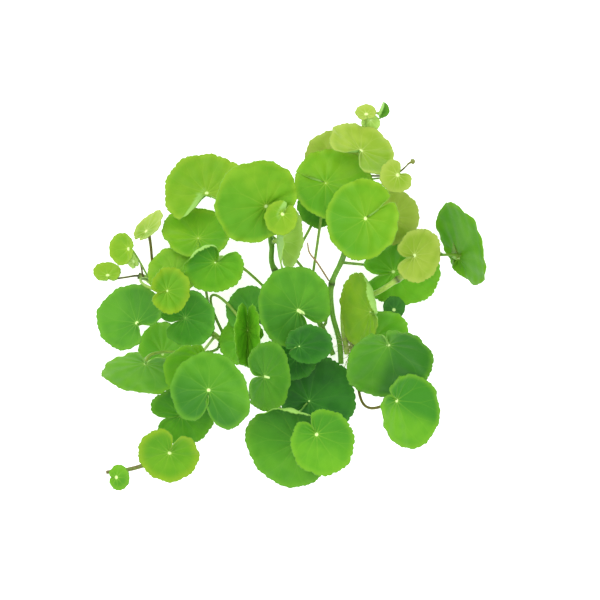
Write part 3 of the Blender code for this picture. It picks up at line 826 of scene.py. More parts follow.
    def facing(self, share: np.ndarray, phi: np.ndarray) -> np.ndarray:
        """Gives the way that the level blade's upper face looks.

        Args:
            share: Shares of the way to the margin.
            phi: Angles from the notch.

        Returns:
            Unit vectors, with x, y and height as the last axis.
        """
        step = 0.02
        outwards = self.level(share, phi) - self.level(share - step, phi)
        onwards = self.level(share, phi + step) - self.level(share, phi - step)
        way = np.cross(outwards, onwards)
        return way / np.linalg.norm(way, axis=-1, keepdims=True)

    def vein_step(self) -> float:
        """Gives the angle between two neighbouring veins."""
        count = VEINS_SMALL if self.small() else VEINS_LARGE
        return (TURN - 2.0 * VEIN_MARGIN * math.radians(self.gape)) / (count - 1)

    def vein_count(self, share: np.ndarray, phi: np.ndarray) -> np.ndarray:
        """Gives the number of each place between veins, which is whole on a vein."""
        plain = (phi - VEIN_MARGIN * math.radians(self.gape)) / self.vein_step()
        return plain + VEIN_WOBBLE * share * np.sin(VEIN_WOBBLES * phi + self.y)

    def relief(self, share: np.ndarray, phi: np.ndarray) -> np.ndarray:
        """Gives how far the skin stands off the plain blade.

        Args:
            share: Shares of the way to the margin.
            phi: Angles from the notch.

        Returns:
            Distances along the way that the face looks.
        """
        number = self.vein_count(share, phi)
        between = np.abs(number - np.round(number))
        size = PILLOW * min(1.0, self.radius / FULL_PILLOW_RADIUS)
        pillow = size * np.sin(math.pi * between) ** 2 * 4.0 * share * (1.0 - PILLOW_FALL * share)
        flutter = FLUTTER * share**4 * np.sin(FLUTTERS * phi + self.y)
        frill = FRILL * share**8 * np.sin(FRILLS * phi + self.x)
        out = self.margin(phi) * share
        along = np.sin(out * np.cos(phi) / DENT_LENGTH * TURN + self.x)
        across = np.sin(out * np.sin(phi) / DENT_LENGTH * TURN + self.y)
        dent = DENT * along * across * share
        return pillow + self.radius * (flutter + frill + dent) + FLAP_LIFT * self.folded(share, phi)

    def folded(self, share: np.ndarray, phi: np.ndarray) -> np.ndarray:
        """Gives where the strip along the notch's side lies folded over, its underside up.

        Args:
            share: Shares of the way to the margin.
            phi: Angles from the notch.

        Returns:
            1 on the strip and 0 off it.
        """
        if not self.flap:
            return np.zeros_like(phi)
        wrapped = np.arctan2(np.sin(phi), np.cos(phi)) * math.copysign(1.0, self.flap)
        out = self.margin(phi) * share
        off = out * np.sin(np.clip(wrapped - math.radians(self.wedge), 0.0, 0.5 * math.pi))
        inside = np.clip((abs(self.flap) - off) / FLAP_EDGE, 0.0, 1.0) * (wrapped > 0.0)
        return inside * np.clip((out - FLAP_FROM) / FLAP_FROM, 0.0, 1.0)

    def eye_off(self, out: np.ndarray, phi: np.ndarray) -> np.ndarray:
        """Gives the distance to the pale eye's middle line.

        Args:
            out: Distances from the petiole.
            phi: Angles from the notch.

        Returns:
            The distances, beside the eye's size.
        """
        turned = math.radians(self.notch - self.slit_at) + phi
        along, across = out * np.cos(turned), out * np.sin(turned)
        along = along - np.clip(along, 0.0, self.slit)
        return np.hypot(along, across) / self.eye

    def face(self, share: np.ndarray, phi: np.ndarray, below: float) -> np.ndarray:
        """Gives points of the finished blade, tilted, beside the petiole's top.

        Args:
            share: Shares of the way to the margin.
            phi: Angles from the notch.
            below: How far under the upper face the points lie, beside the blade's thickness.

        Returns:
            The points, with x, y and height as the last axis.
        """
        drawn = share * self.scallops(share, phi)
        thickness = THICK_MIDDLE + (THICK_RIM - THICK_MIDDLE) * share
        stand = self.relief(share, phi) - below * thickness
        return (self.level(drawn, phi) + self.facing(share, phi) * stand[..., None]) @ self.turn().T

    def painted_shade_side(self, points: np.ndarray) -> np.ndarray:
        """Gives how far each point lies in the painted shade, the side of the blade darkened as if in
        shadow.

        Args:
            points: Points beside the petiole's top.

        Returns:
            Shares from 0 to 1.
        """
        across = (points[:, :2] + self.spot()[:2]) @ heading(self.painted_shade_at)[:2] / self.radius
        ramp = np.clip(PAINTED_SHADE_START + (across - self.painted_shade_from) / self.painted_shade_soft, 0.0, 1.0)
        return self.painted_shade * ramp * ramp * (3.0 - 2.0 * ramp)


@dataclass
class LeafPiece:
    """The mesh of one leaf, closed from the pole of its blade to the end of its petiole."""

    leaf: Leaf
    stems: np.ndarray

    def petiole(self, rings: list[np.ndarray]) -> np.ndarray:
        """Follows the solid's petiole and carries it on into the stem.

        Args:
            rings: The rings of the solid, whose last ones are the petiole's.

        Returns:
            The points of the petiole's middle line.
        """
        middles = np.array([ring.mean(axis=0) for ring in rings[-RINGS_OF_SOLID:]])
        path = bezier(middles, PETIOLE_RINGS)
        bow = path[len(path) // 2] - 0.5 * (path[0] + path[-1])
        bow[2] = 0.0
        share = np.sin(math.pi * np.linspace(0.0, 1.0, len(path))) ** 2
        path = path - self.leaf.tuck * share[:, None] * bow / np.linalg.norm(bow)
        nearest = self.stems[np.argmin(np.linalg.norm(self.stems - path[-1], axis=1))]
        back = path[-1] - nearest
        end = nearest + back * INTO_STEM * STEM_RADIUS / np.linalg.norm(back)
        return np.vstack([path, 0.5 * (path[-1] + end), end])

    def radii(self, count: int) -> np.ndarray:
        """Gives the petiole's radius at each of its points, flared at the blade and at the stem.

        Args:
            count: How many points there are.

        Returns:
            The radii.
        """
        t = np.linspace(0.0, 1.0, count)
        flare = (COLLAR - 1.0) * np.exp(-t / COLLAR_RUN) + STEM_FLARE * np.exp((t - 1.0) / COLLAR_RUN)
        return self.leaf.stalk_radius() * (1.0 + flare - WAIST * np.sin(math.pi * t))

    def build(self, palette: Palette) -> np.ndarray:
        """Makes the piece.

        Args:
            palette: Where the materials come from.

        Returns:
            The point where the petiole meets its stem.
        """
        leaf = self.leaf
        solid = Solid(leaf.name)
        rings = solid.rings(solid.pole())
        path = self.petiole(rings)
        phi = leaf.sectors()
        reach = leaf.margin(phi)
        collar = COLLAR_ROOM * COLLAR * leaf.stalk_radius() / reach
        shares = [np.full_like(phi, share) for share in UPPER_SHARES]
        blade = [leaf.face(share, phi, 0.0) for share in shares]
        under = [leaf.folded(share, phi) for share in shares]
        for step in LOWER_STEPS:
            shares.append(collar + (1.0 - collar) * step)
            blade.append(leaf.face(shares[-1], phi, 1.0))
            under.append(np.full_like(phi, 1.0 if step < 1.0 else 0.5))
        points = np.vstack([np.zeros(3), *blade])
        tube = tube_rings(path, self.radii(len(path)), -leaf.turn() @ heading(leaf.notch), PETIOLE_SIDES)
        corners = np.vstack([points + rings[0][0], *tube, path[-1]])

        blade_rings = numbered(len(blade), len(phi), 1)
        stalk_rings = numbered(len(tube), PETIOLE_SIDES, len(points))
        collar_ring = np.roll(stalk_rings[0][::-1], 1 + PETIOLE_SIDES // 2)
        around = np.arange(PETIOLE_SIDES) * TURN / PETIOLE_SIDES
        groups = [
            (fan(blade_rings[0], 0, closing=False), 0),
            (strips(blade_rings), 0),
            (stitch(blade_rings[-1], phi, collar_ring, around), 1),
            (strips(stalk_rings)[:, ::-1], 1),
            (fan(stalk_rings[-1], len(corners) - 1, closing=True)[:, ::-1], 1),
        ]
        materials = [palette.get(leaf.tone), palette.get(leaf.stalk)]
        mesh = make_mesh(leaf.name + "_grown", corners * MM, groups, materials)

        extra = np.ones(len(corners) - len(points))
        share = np.concatenate(shares)
        turns = np.tile(phi, len(shares))
        reaches = np.tile(reach, len(shares))
        out = np.concatenate([[0.0], reaches * share, 0.0 * extra])
        eye = leaf.eye_off(reaches * share, turns)
        along = np.repeat(np.linspace(0.0, 1.0, len(tube)), PETIOLE_SIDES)
        set_marks(mesh, {
            "out": out,
            "apart": out * leaf.vein_step(),
            "eye": np.concatenate([[0.0], eye, leaf.radius * extra]),
            "edge": np.concatenate([[leaf.radius], reaches * (1.0 - share), 0.0 * extra]),
            "under": np.concatenate([[0.0], *under, extra]),
            # How far each corner lies in the painted shade
            "painted_shade": np.concatenate([leaf.painted_shade_side(points), 0.0 * extra]),
            "along": np.concatenate([np.zeros(len(points)), along, [1.0]]),
        })
        number = np.concatenate([[0.0], leaf.vein_count(share, turns), 0.0 * extra])
        self.chart(mesh, number, np.concatenate([[0.0], share, 0.0 * extra]))
        settle_piece(link(leaf.name + "_grown", mesh), leaf.name)
        return path[-1]

    def chart(self, mesh: bpy.types.Mesh, number: np.ndarray, share: np.ndarray) -> None:
        """Gives the mesh the chart that the veins are drawn on: the vein's number and the way out.

        Args:
            mesh: The leaf's mesh.
            number: The vein number at each corner, which starts again in the notch.
            share: The share of the way to the margin at each corner.
        """
        corner = np.empty(len(mesh.loops), np.int32)
        mesh.loops.foreach_get("vertex_index", corner)
        starts = np.empty(len(mesh.polygons), np.int32)
        mesh.polygons.foreach_get("loop_start", starts)
        period = TURN / self.leaf.vein_step()
        across = number[corner]
        highest = np.maximum.reduceat(across, starts)
        lengths = np.diff(np.append(starts, len(corner)))
        across = np.where(np.repeat(highest, lengths) - across > 0.5 * period, across + period, across)
        poles = corner == 0
        across[np.flatnonzero(poles)] = across[np.flatnonzero(poles) + 1]
        values = np.stack([across, share[corner]], axis=1)
        mesh.uv_layers.new(name="veins").data.foreach_set("uv", values.ravel().astype(np.float32))


# The leaves in the order of their numbers, with the same sizes as the solids.
# Each leaf's painted shade darkens one side of its blade as if in shadow
LEAVES = (
    Leaf("leaf_01", Tone.PALE, 38.75, 92.25, 5.5, 280, 0.2, 40, 90, painted_shade=0.4, painted_shade_at=262),
    Leaf("leaf_02", Tone.GROWN, 46.25, 93.75, 4.3, 250, 0.5, 55, 350, fold=48, painted_shade=0.4, painted_shade_at=342,
         eye=0.4),
    # leaf_03 takes the underside's paler colour as painted light, against the shade that it lies in
    Leaf("leaf_03", Tone.SILVER, 41.25, 87.2, 5, 90, 0.3, 30, 270, eye=0.5),
    Leaf("leaf_04", Tone.PALE, 36.25, 72.9, 18.3, 228, 0, 50, 60, gape=36, wedge=22, painted_shade=0.9, painted_shade_at=290,
         stalk=Stalk.PALE),
    Leaf("leaf_05", Tone.PALE, 22.25, 69.75, 14.5, 300, 0.1, 15, 120),
    Leaf("leaf_06", Tone.BRIGHT, 22.5, 55.5, 20.5, 160, 0.2, 26, 90, gape=3, painted_shade=0.8, painted_shade_at=258,
         eye=0.3),
    Leaf("leaf_07", Tone.GROWN, 14.75, 45, 11, 60, 0.1, 20, 200, painted_shade=0.6, painted_shade_at=300),
    Leaf("leaf_08", Tone.BRIGHT, 37.5, 38.25, 21, 30, 0.05, 30, 180, gape=7, painted_shade=0.8, painted_shade_at=196),
    Leaf("leaf_09", Tone.PALE, 51.9, 39.75, 14.3, 180, 0.05, 12, 0),
    Leaf("leaf_10", Tone.PALE, 53.75, 60, 8.9, 38, 0.1, 10, 30, gape=80, wedge=25, painted_shade=0.4, painted_shade_at=327),
    Leaf("leaf_11", Tone.BRIGHT, -57.5, 12, 13.6, 290, 0.1, 22, 120, painted_shade=0.6, painted_shade_at=319),
    Leaf("leaf_12", Tone.YOUNG, -41, 51.75, 22, 282, 0, 25, 90, gape=54, wedge=40, painted_shade=0.35, painted_shade_at=147,
         flap=-3.8),
    Leaf("leaf_13", Tone.BRIGHT, -16.9, 47.9, 22.6, 330, 0.33, 30, 316, gape=46, painted_shade=0.7, painted_shade_at=239,
         stalk=Stalk.PALE),
    Leaf("leaf_14", Tone.YOUNG, -4, 39, 9, 60, 0.25, 18, 0, gape=24, painted_shade=0.3, painted_shade_at=228, flap=3.2),
    Leaf("leaf_15", Tone.SILVER, -5.25, 29.5, 18, 270, 0.1, 72, 0, fold=22, painted_shade=0.5, painted_shade_at=216),
    Leaf("leaf_16", Tone.BRIGHT, -45.25, 30.5, 16.5, 270, 0.1, 38, 90, bulge=0.18, bulge_at=150, painted_shade=0.7,
         painted_shade_at=315, eye=0.3),
    Leaf("leaf_17", Tone.FRESH, -37.25, 15.75, 15.5, 60, 0.1, 28, 270, curl=150, curl_at=128, gape=48,
         wedge=12, painted_shade=0.9, painted_shade_at=120, curl_from=0.66, curl_power=2, eye=0.5),
    Leaf("leaf_18", Tone.RIMMED, -59.25, 3, 12.2, 190, 0.1, 34, 0, gape=24, painted_shade=0.3, painted_shade_at=117, eye=0.6),
    Leaf("leaf_19", Tone.GROWN, -79, -10.5, 18, 320, 0.27, 28, 135, gape=56, wedge=24, painted_shade=0.6,
         painted_shade_at=20),
    Leaf("leaf_20", Tone.GROWN, 2.4, -4, 20, 312, 0.2, 20, 0, bulge=0.12, bulge_at=240, gape=40, wedge=8,
         painted_shade=0.8, painted_shade_at=262, painted_shade_soft=0.8, slit=3, slit_at=330),
    Leaf("leaf_21", Tone.DEEP, 10.6, -23.25, 12.3, 200, 0.45, 36, 270, gape=20, painted_shade=0.1, painted_shade_at=150,
         eye=0.4),
    Leaf("leaf_22", Tone.LIT, -20.5, -18.75, 17.5, 90, 0.1, 0, 180, fold=68, gape=34, painted_shade=0.1,
         painted_shade_at=255, eye=0.3),
    Leaf("leaf_23", Tone.LIT, -23, -22.5, 12.5, 0, 0.1, 14, 180),
    Leaf("leaf_24", Tone.DARK, -19.5, -6.75, 12.5, 300, 0.1, 15, 150, painted_shade=0.2, painted_shade_at=314),
    Leaf("leaf_25", Tone.GROWN, -11.2, -39.75, 18, 180, 0.05, 50, 0, painted_shade=0.7, painted_shade_at=168, slit=3.2,
         slit_at=350, eye=0.65),
    Leaf("leaf_26", Tone.GROWN, -39.5, -46.4, 19.5, 266, 0, 10, 180, gape=42, bulge=0.25, bulge_at=318,
         painted_shade=1, painted_shade_at=240),
    Leaf("leaf_27", Tone.FRESH, -48, -37, 15, 60, 0.6, 24, 270, painted_shade=0.4, painted_shade_at=269, stalk=Stalk.PALE,
         eye=0.8),
    Leaf("leaf_28", Tone.LIT, -63, -27.5, 15.5, 250, 0.1, 38, 180, painted_shade=0.2, painted_shade_at=267),
    Leaf("leaf_29", Tone.FRESH, -72.25, -36.75, 19.3, 80, 0.3, 56, 270, gape=52, bulge=0.12, bulge_at=185,
         wedge=14, painted_shade=0.6, painted_shade_at=33),
    Leaf("leaf_30", Tone.GROWN, -53, -59.5, 16.25, 190, 0.05, 20, 270, bulge=0.12, bulge_at=160, painted_shade=1,
         painted_shade_at=69),
    Leaf("leaf_31", Tone.RIMMED, -59.75, -79, 15.5, 75, 0.05, 28, 270, bulge=0.1, bulge_at=140, painted_shade=0.4,
         painted_shade_at=107),
    Leaf("leaf_32", Tone.FRESH, -85, -91, 6.75, 180, 0.3, 35, 180, painted_shade=0.6, painted_shade_at=297),
    Leaf("leaf_33", Tone.GROWN, 0.25, -71.75, 22.4, 356, 0.2, 20, 220, gape=48, bulge=0.1, bulge_at=295,
         curl=150, curl_at=92, painted_shade=1, painted_shade_at=70, curl_from=0.66, curl_power=2, eye=0.3),
    Leaf("leaf_34", Tone.FRESH, 16.75, -72.25, 17, 125, 0.3, 16, 0, wave=0.015, painted_shade=0.8, painted_shade_at=77,
         tuck=3),
    Leaf("leaf_35", Tone.DEEP, 14.5, -48.5, 19.5, 225, 0.3, 10, 300, bulge=0.12, bulge_at=320, gape=16,
         painted_shade=0.6, painted_shade_at=133, eye=0.5),
    Leaf("leaf_36", Tone.DEEP, 3.2, -31, 11.5, 20, 0.1, 8, 100, painted_shade=0.5, painted_shade_at=310),
    Leaf("leaf_37", Tone.YOUNG, 37, -6.5, 19.5, 350, 0.4, 60, 180, curl=140, curl_at=40, gape=12, painted_shade=0.2,
         painted_shade_at=250, curl_from=0.62, curl_power=2, eye=0.7),
    Leaf("leaf_38", Tone.LIT, 46.75, -16.75, 14.5, 235, 0.4, 40, 270, gape=12, painted_shade=0.1, painted_shade_at=217,
         eye=0.3),
    Leaf("leaf_39", Tone.GROWN, 51.5, -30.9, 21.75, 100, 0.45, 46, 270, gape=9, bulge=0.22, bulge_at=250,
         painted_shade=1, painted_shade_at=345, painted_shade_soft=0.35, painted_shade_from=-0.1),
    Leaf("leaf_40", Tone.FRESH, 60.2, -57.5, 19.25, 145, 0.5, 38, 0, painted_shade=1, painted_shade_at=66, painted_shade_soft=0.4,
         painted_shade_from=-0.05, stalk=Stalk.BROWN),
    Leaf("leaf_41", Tone.LIT, 56.75, 12.75, 20.5, 185, 0.2, 36, 270, painted_shade=0.6, painted_shade_at=135),
    Leaf("leaf_42", Tone.PALE, 64.25, 20.7, 14.25, 185, 0.12, 36, 340, painted_shade=0.3, painted_shade_at=149,
         stalk=Stalk.PALE),
    Leaf("leaf_43", Tone.FRESH, 88.9, 27.3, 22.6, 225, 0.7, 66, 203, gape=12, painted_shade=0.15, painted_shade_at=161),
    Leaf("leaf_44", Tone.DEEP, 53, -5.5, 6, 270, 0.2, 15, 0, painted_shade=0, painted_shade_at=175),
    Leaf("leaf_45", Tone.PALE, -69.7, 35.1, 10, 240, 0.3, 62, 137, painted_shade=0.9, painted_shade_at=261,
         stalk=Stalk.BROWN),
    Leaf("leaf_46", Tone.YOUNG, -83.5, 23.9, 8.5, 0, 0.5, 40, 180, painted_shade=0.3, painted_shade_at=135),
    # leaf_47 takes the underside's paler colour as painted light, against the shade that it lies in
    Leaf("leaf_47", Tone.SILVER, -78.75, 19, 5, 300, 0.3, 50, 200, stalk=Stalk.BROWN),
    Leaf("leaf_48", Tone.YOUNG, -91.4, 12.2, 7.25, 280, 0.3, 45, 90, painted_shade=0.1, painted_shade_at=219,
         stalk=Stalk.BROWN),
    Leaf("leaf_49", Tone.DARK, -50.25, -10.25, 15.5, 200, 0.1, 25, 225, painted_shade=0.7, painted_shade_at=57, eye=0.2),
)


# Each stem's route, as in the solids: x, y and height of the middle line, then its thickness beside an
# ordinary stem.
STEMS = {
    "stem_top": (
        (26.5, -34.0, 2.4, 1.0), (25.5, -22.0, 3.0, 1.0), (22.0, -8.0, 6.0, 1.0),
        (21.75, 6.5, 9.0, KNOT), (27.5, 20.0, 12.0, 1.0), (31.0, 36.0, 13.0, 1.0),
        (36.0, 60.0, 13.0, 0.9), (40.5, 77.0, 12.0, 1.0), (43.5, 89.0, 11.0, 0.8),
    ),
    "stem_centre": (
        (22.5, -29.5, 2.0, 1.0), (17.0, -16.0, 3.0, 1.0), (9.5, -4.0, 5.0, 1.0),
        (-7.0, 13.5, 12.0, KNOT), (-8.5, 26.0, 17.0, 1.0), (-10.5, 36.0, 20.0, 0.8),
    ),
    "stem_left": (
        (19.5, -33.5, 1.8, 1.0), (0.0, -32.5, 2.5, 1.0), (-19.5, -31.0, 6.0, 1.0),
        (-30.5, -25.5, 10.0, 1.0), (-37.0, -19.5, 12.0, 1.1), (-53.5, -10.5, 13.0, KNOT),
        (-62.0, -1.5, 11.0, 1.0), (-70.0, 8.0, 9.0, 1.0), (-75.5, 10.5, 8.0, KNOT),
    ),
    "stem_right": (
        (29.5, -29.0, 2.2, 1.0), (27.5, -14.0, 4.0, 1.0), (29.5, -1.5, 12.0, 1.0),
        (43.5, 1.75, 24.0, 1.1), (54.5, 8.5, 31.0, KNOT), (66.0, 15.5, 27.0, 0.9),
        (76.0, 21.5, 22.0, 0.9),
    ),
    "stem_lower_left": (
        (21.0, -38.0, 2.0, 1.0), (4.0, -44.0, 1.6, 1.0), (-18.0, -50.0, 1.6, 1.0),
        (-38.0, -56.0, 2.0, 1.0), (-52.0, -66.0, 3.0, 1.0), (-59.5, -78.5, 4.5, 1.1),
        (-69.0, -83.5, 6.0, 0.9), (-80.0, -87.0, 6.0, 0.8), (-92.0, -88.6, 5.5, 0.7),
    ),
    "stem_bottom": (
        (25.5, -39.5, 2.2, 1.0), (18.0, -51.0, 1.7, 1.0), (12.5, -63.0, 1.8, 0.9),
        (8.0, -70.0, 2.0, 0.9), (5.0, -76.0, 2.6, 0.9),
    ),
    "stem_side": (
        (30.5, -36.0, 2.2, 1.0), (38.0, -33.0, 1.8, 1.0), (48.0, -29.0, 2.5, 1.0),
        (56.0, -27.0, 4.0, 0.9),
    ),
}
STEM_FINISHES = {
    "stem_right": Stalk.STEM_PALE,
    "stem_left": Stalk.STEM_PALE,
    "stem_lower_left": Stalk.STEM_BROWN,
}

# How far apart the points lie that a stem's skin is laid round, and what stands for the knots of a stem that
# has none
STEM_STEP = 1.2
FAR_AWAY = np.full((1, 3), 1000.0)

# The routes of the free root and of the bud's stalk, in the same way
FREE_ROOT = (
    (9.5, 27.0, 22.0, 0.7), (10.5, 22.0, 23.0, 0.9), (14.0, 17.5, 21.0, 1.0), (18.0, 11.5, 16.0, 1.0),
    (20.2, 8.0, 10.9, 0.9),
)
FREE_ROOT_RADIUS = 0.45
BUD_ROUTE = (
    (38.0, 60.9, 13.6, 1.0), (46.0, 60.5, 22.0, 1.0), (54.0, 61.5, 32.0, 1.0), (58.3, 64.6, 39.0, 0.9),
    (59.6, 66.0, 45.0, 1.0), (61.2, 66.8, 48.8, 1.2),
)
BUD_STALK_RADIUS = 0.5
BUD_TIP = (62.6, 67.5, 51.4)


def page_shift() -> np.ndarray:
    """Reads the shift from the page to the frame from where one leaf's solid sits.

    Returns:
        The shift, in millimetres.
    """
    leaf = LEAVES[0]
    solid = Solid(leaf.name)
    middle = solid.points[solid.pole()] - leaf.spot()
    return np.array([middle[0] - leaf.x, middle[1] - leaf.y, 0.0])


def start_tree(name: str, kinds: dict[str, str]) -> tuple[bpy.types.NodeTree, bpy.types.NodeOutputs]:
    """Starts a geometry tree.

    Args:
        name: The tree's name.
        kinds: The kind of each input's socket, by the input's name.

    Returns:
        The tree and the inputs that it is given.
    """
    tree = bpy.data.node_groups.new(name, "GeometryNodeTree")
    for key, kind in kinds.items():
        tree.interface.new_socket(name=key, in_out="INPUT", socket_type="NodeSocket" + kind)
    tree.interface.new_socket(name="Skin", in_out="OUTPUT", socket_type="NodeSocketGeometry")
    return tree, add_node(tree, "NodeGroupInput").outputs


def end_tree(tree: bpy.types.NodeTree, skin: bpy.types.Node, material: bpy.types.NodeSocket) -> None:
    """Ends a geometry tree with a smooth plain mesh of one material.

    Args:
        tree: The geometry tree.
        skin: The node that gives the tree's last shape.
        material: The tree's input for the material.
    """
    smooth = add_node(tree, "GeometryNodeSetShadeSmooth", {0: skin})
    real = add_node(tree, "GeometryNodeRealizeInstances", {0: smooth})
    dressed = add_node(tree, "GeometryNodeSetMaterial", {"Geometry": real, "Material": material})
    add_node(tree, "NodeGroupOutput", {0: dressed})


@dataclass
class TubeTree:
    """The geometry tree that lays a skin round a path, thick where the path's points say so."""

    name: str = "skin round a path"

    def build(self) -> bpy.types.NodeTree:
        """Makes the tree.

        Returns:
            The tree, whose inputs are the path, its sides, its roughness and the grain of that, and a
            material.
        """
        tree, given = start_tree(self.name, {
            "Path": "Geometry", "Sides": "Int", "Roughness": "Float", "Grain": "Float",
            "Material": "Material",
        })
        thick = add_node(tree, "GeometryNodeInputNamedAttribute", {"Name": "thick"}, data_type="FLOAT")
        curve = add_node(tree, "GeometryNodeMeshToCurve", {"Mesh": given["Path"]})
        ring = add_node(tree, "GeometryNodeCurvePrimitiveCircle",
                        {"Resolution": given["Sides"], "Radius": 1.0})
        tube = add_node(tree, "GeometryNodeCurveToMesh",
                        {"Curve": curve, "Profile Curve": ring, "Scale": thick, "Fill Caps": True})
        noise = add_node(tree, "ShaderNodeTexNoise", {"Scale": given["Grain"], "Detail": 2.0})
        middle = add_node(tree, "ShaderNodeMath", {0: noise, 1: 0.5}, operation="SUBTRACT")
        depth = add_node(tree, "ShaderNodeMath", {0: middle, 1: given["Roughness"]}, operation="MULTIPLY")
        normal = add_node(tree, "GeometryNodeInputNormal")
        offset = add_node(tree, "ShaderNodeVectorMath", {0: normal, "Scale": depth}, operation="SCALE")
        rough = add_node(tree, "GeometryNodeSetPosition", {"Geometry": tube, "Offset": offset})
        end_tree(tree, rough, given["Material"])
        return tree


@dataclass
class RootTree:
    """The geometry tree that grows fine wandering roots out of a lump."""

    name: str = "fine roots from a lump"
    points_per_root: int = 12
    sides: int = 5
    shortest: float = 0.35
    longest: float = 1.2
    thin_end: float = 0.35
    wander_grain: float = 260.0
    sag: tuple[float, float, float] = (0.5, 0.5, 0.6)
    lie_height: float = 0.5 * MM

    def build(self) -> bpy.types.NodeTree:
        """Makes the tree.

        Returns:
            The tree, whose inputs are the lump, how close its roots stand, their length, thickness and
            wander, a seed and a material.
        """
        tree, given = start_tree(self.name, {
            "Lump": "Geometry", "Density": "Float", "Length": "Float", "Thickness": "Float",
            "Wander": "Float", "Seed": "Int", "Material": "Material",
        })
        lump, seed = given["Lump"], given["Seed"]
        starts = add_node(tree, "GeometryNodeDistributePointsOnFaces",
                          {"Mesh": lump, "Density": given["Density"], "Seed": seed})
        top = add_node(tree, "ShaderNodeCombineXYZ", {2: given["Length"]})
        line = add_node(tree, "GeometryNodeCurvePrimitiveLine", {"End": top})
        fine = add_node(tree, "GeometryNodeResampleCurve", {"Curve": line, "Count": self.points_per_root})
        size = add_node(tree, "FunctionNodeRandomValue", {2: self.shortest, 3: self.longest, "Seed": seed},
                        data_type="FLOAT")
        grown = add_node(tree, "GeometryNodeInstanceOnPoints", {
            "Points": starts,
            "Instance": fine,
            "Rotation": starts.outputs["Rotation"],
            "Scale": size.outputs[1],
        })
        lines = add_node(tree, "GeometryNodeRealizeInstances", {0: grown})
        factor = add_node(tree, "GeometryNodeSplineParameter").outputs["Factor"]
        noise = add_node(tree, "ShaderNodeTexNoise", {"Scale": self.wander_grain, "Detail": 1.0})
        centred = add_node(tree, "ShaderNodeVectorMath", {0: noise.outputs["Color"], 1: self.sag},
                           operation="SUBTRACT")
        reach = add_node(tree, "ShaderNodeMath", {0: factor, 1: given["Wander"]}, operation="MULTIPLY")
        drift = add_node(tree, "ShaderNodeVectorMath", {0: centred, "Scale": reach}, operation="SCALE")
        moved = add_node(tree, "GeometryNodeSetPosition", {"Geometry": lines, "Offset": drift})
        place = add_node(tree, "ShaderNodeSeparateXYZ", {0: add_node(tree, "GeometryNodeInputPosition")})
        x, y, z = place.outputs
        lying = add_node(tree, "ShaderNodeMath", {0: z, 1: self.lie_height}, operation="MAXIMUM")
        laid = add_node(tree, "ShaderNodeCombineXYZ", {0: x, 1: y, 2: lying})
        down = add_node(tree, "GeometryNodeSetPosition", {"Geometry": moved, "Position": laid})
        ring = add_node(tree, "GeometryNodeCurvePrimitiveCircle",
                        {"Resolution": self.sides, "Radius": given["Thickness"]})
        taper = add_node(tree, "ShaderNodeMapRange", {0: factor, 1: 0.0, 2: 1.0, 3: 1.0, 4: self.thin_end})
        tubes = add_node(tree, "GeometryNodeCurveToMesh",
                         {"Curve": down, "Profile Curve": ring, "Scale": taper, "Fill Caps": True})
        both = add_node(tree, "GeometryNodeJoinGeometry", {0: tubes})
        tree.links.new(lump, both.inputs[0])
        end_tree(tree, both, given["Material"])
        return tree


def grown_from(tree: bpy.types.NodeTree, source: bpy.types.Mesh,
               inputs: dict, name: str) -> bpy.types.Object:
    """Runs a geometry tree on a mesh and keeps what it makes as a plain mesh.

    Args:
        tree: The geometry tree.
        source: What the tree starts from.
        inputs: The tree's inputs by name.
        name: The new piece's name.

    Returns:
        The piece, with no modifier.
    """
    helper = link(name + "_source", source)
    modifier = helper.modifiers.new("grow", "NODES")
    modifier.node_group = tree
    for item in tree.interface.items_tree:
        if item.in_out == "INPUT" and item.name in inputs:
            modifier[item.identifier] = inputs[item.name]
    seen = helper.evaluated_get(bpy.context.evaluated_depsgraph_get())
    mesh = bpy.data.meshes.new_from_object(seen)
    mesh.name = name
    bpy.data.objects.remove(helper)
    bpy.data.meshes.remove(source)
    return link(name, mesh)


def path_mesh(name: str, path: np.ndarray, thick: np.ndarray, knot: np.ndarray) -> bpy.types.Mesh:
    """Makes a chain of edges whose corners carry what the skin needs.

    Args:
        name: The mesh's name.
        path: The path's points, in millimetres.
        thick: The radius at each, in millimetres.
        knot: How dark each is, from 0 to 1.

    Returns:
        The mesh.
    """
    mesh = bpy.data.meshes.new(name)
    mesh.from_pydata((path * MM).tolist(), [(k, k + 1) for k in range(len(path) - 1)], [])
    set_marks(mesh, {"thick": thick * MM, "knot": knot, "along": np.linspace(0.0, 1.0, len(path))})
    return mesh


def nearness(path: np.ndarray, spots: np.ndarray, reach: float) -> np.ndarray:
    """Gives how near each of a path's points is to the nearest spot, as 1 on it and less away from it."""
    apart = np.linalg.norm(path[:, None] - spots[None], axis=2).min(axis=1)
    return np.exp(-((apart / reach) ** 2))


@dataclass
class Stem:
    """One stem: a smooth juicy tube that swells and darkens at its knots and where petioles join it."""

    name: str
    path: np.ndarray
    factor: np.ndarray
    joints: np.ndarray
    knots: np.ndarray
    sides: int = 16
    swell: float = 0.16
    swell_reach: float = 1.9
    knot_swell: float = 0.34
    knot_reach: float = 1.7
    knot_dark: float = 0.9
    joint_dark: float = 0.1
    roughness: float = 0.16
    grain_mm: float = 2.2

    def build(self, tree: bpy.types.NodeTree, palette: Palette) -> None:
        """Makes the piece.

        Args:
            tree: The geometry tree that lays the skin.
            palette: Where the material comes from.
        """
        joined = nearness(self.path, self.joints, self.swell_reach)
        knot = nearness(self.path, self.knots, self.knot_reach)
        swollen = np.maximum(self.knot_swell * knot, self.swell * joined)
        thick = STEM_RADIUS * (np.minimum(self.factor, 1.0) + swollen)
        dark = np.clip(self.knot_dark * knot**2 + self.joint_dark * joined, 0.0, 1.0)
        inputs = {
            "Sides": self.sides,
            "Roughness": self.roughness * MM,
            "Grain": 1.0 / (self.grain_mm * MM),
            "Material": palette.get(STEM_FINISHES.get(self.name, Stalk.STEM)),
        }
        source = path_mesh(self.name + "_path", self.path, thick, dark)
        settle_piece(grown_from(tree, source, inputs, self.name + "_grown"), self.name)


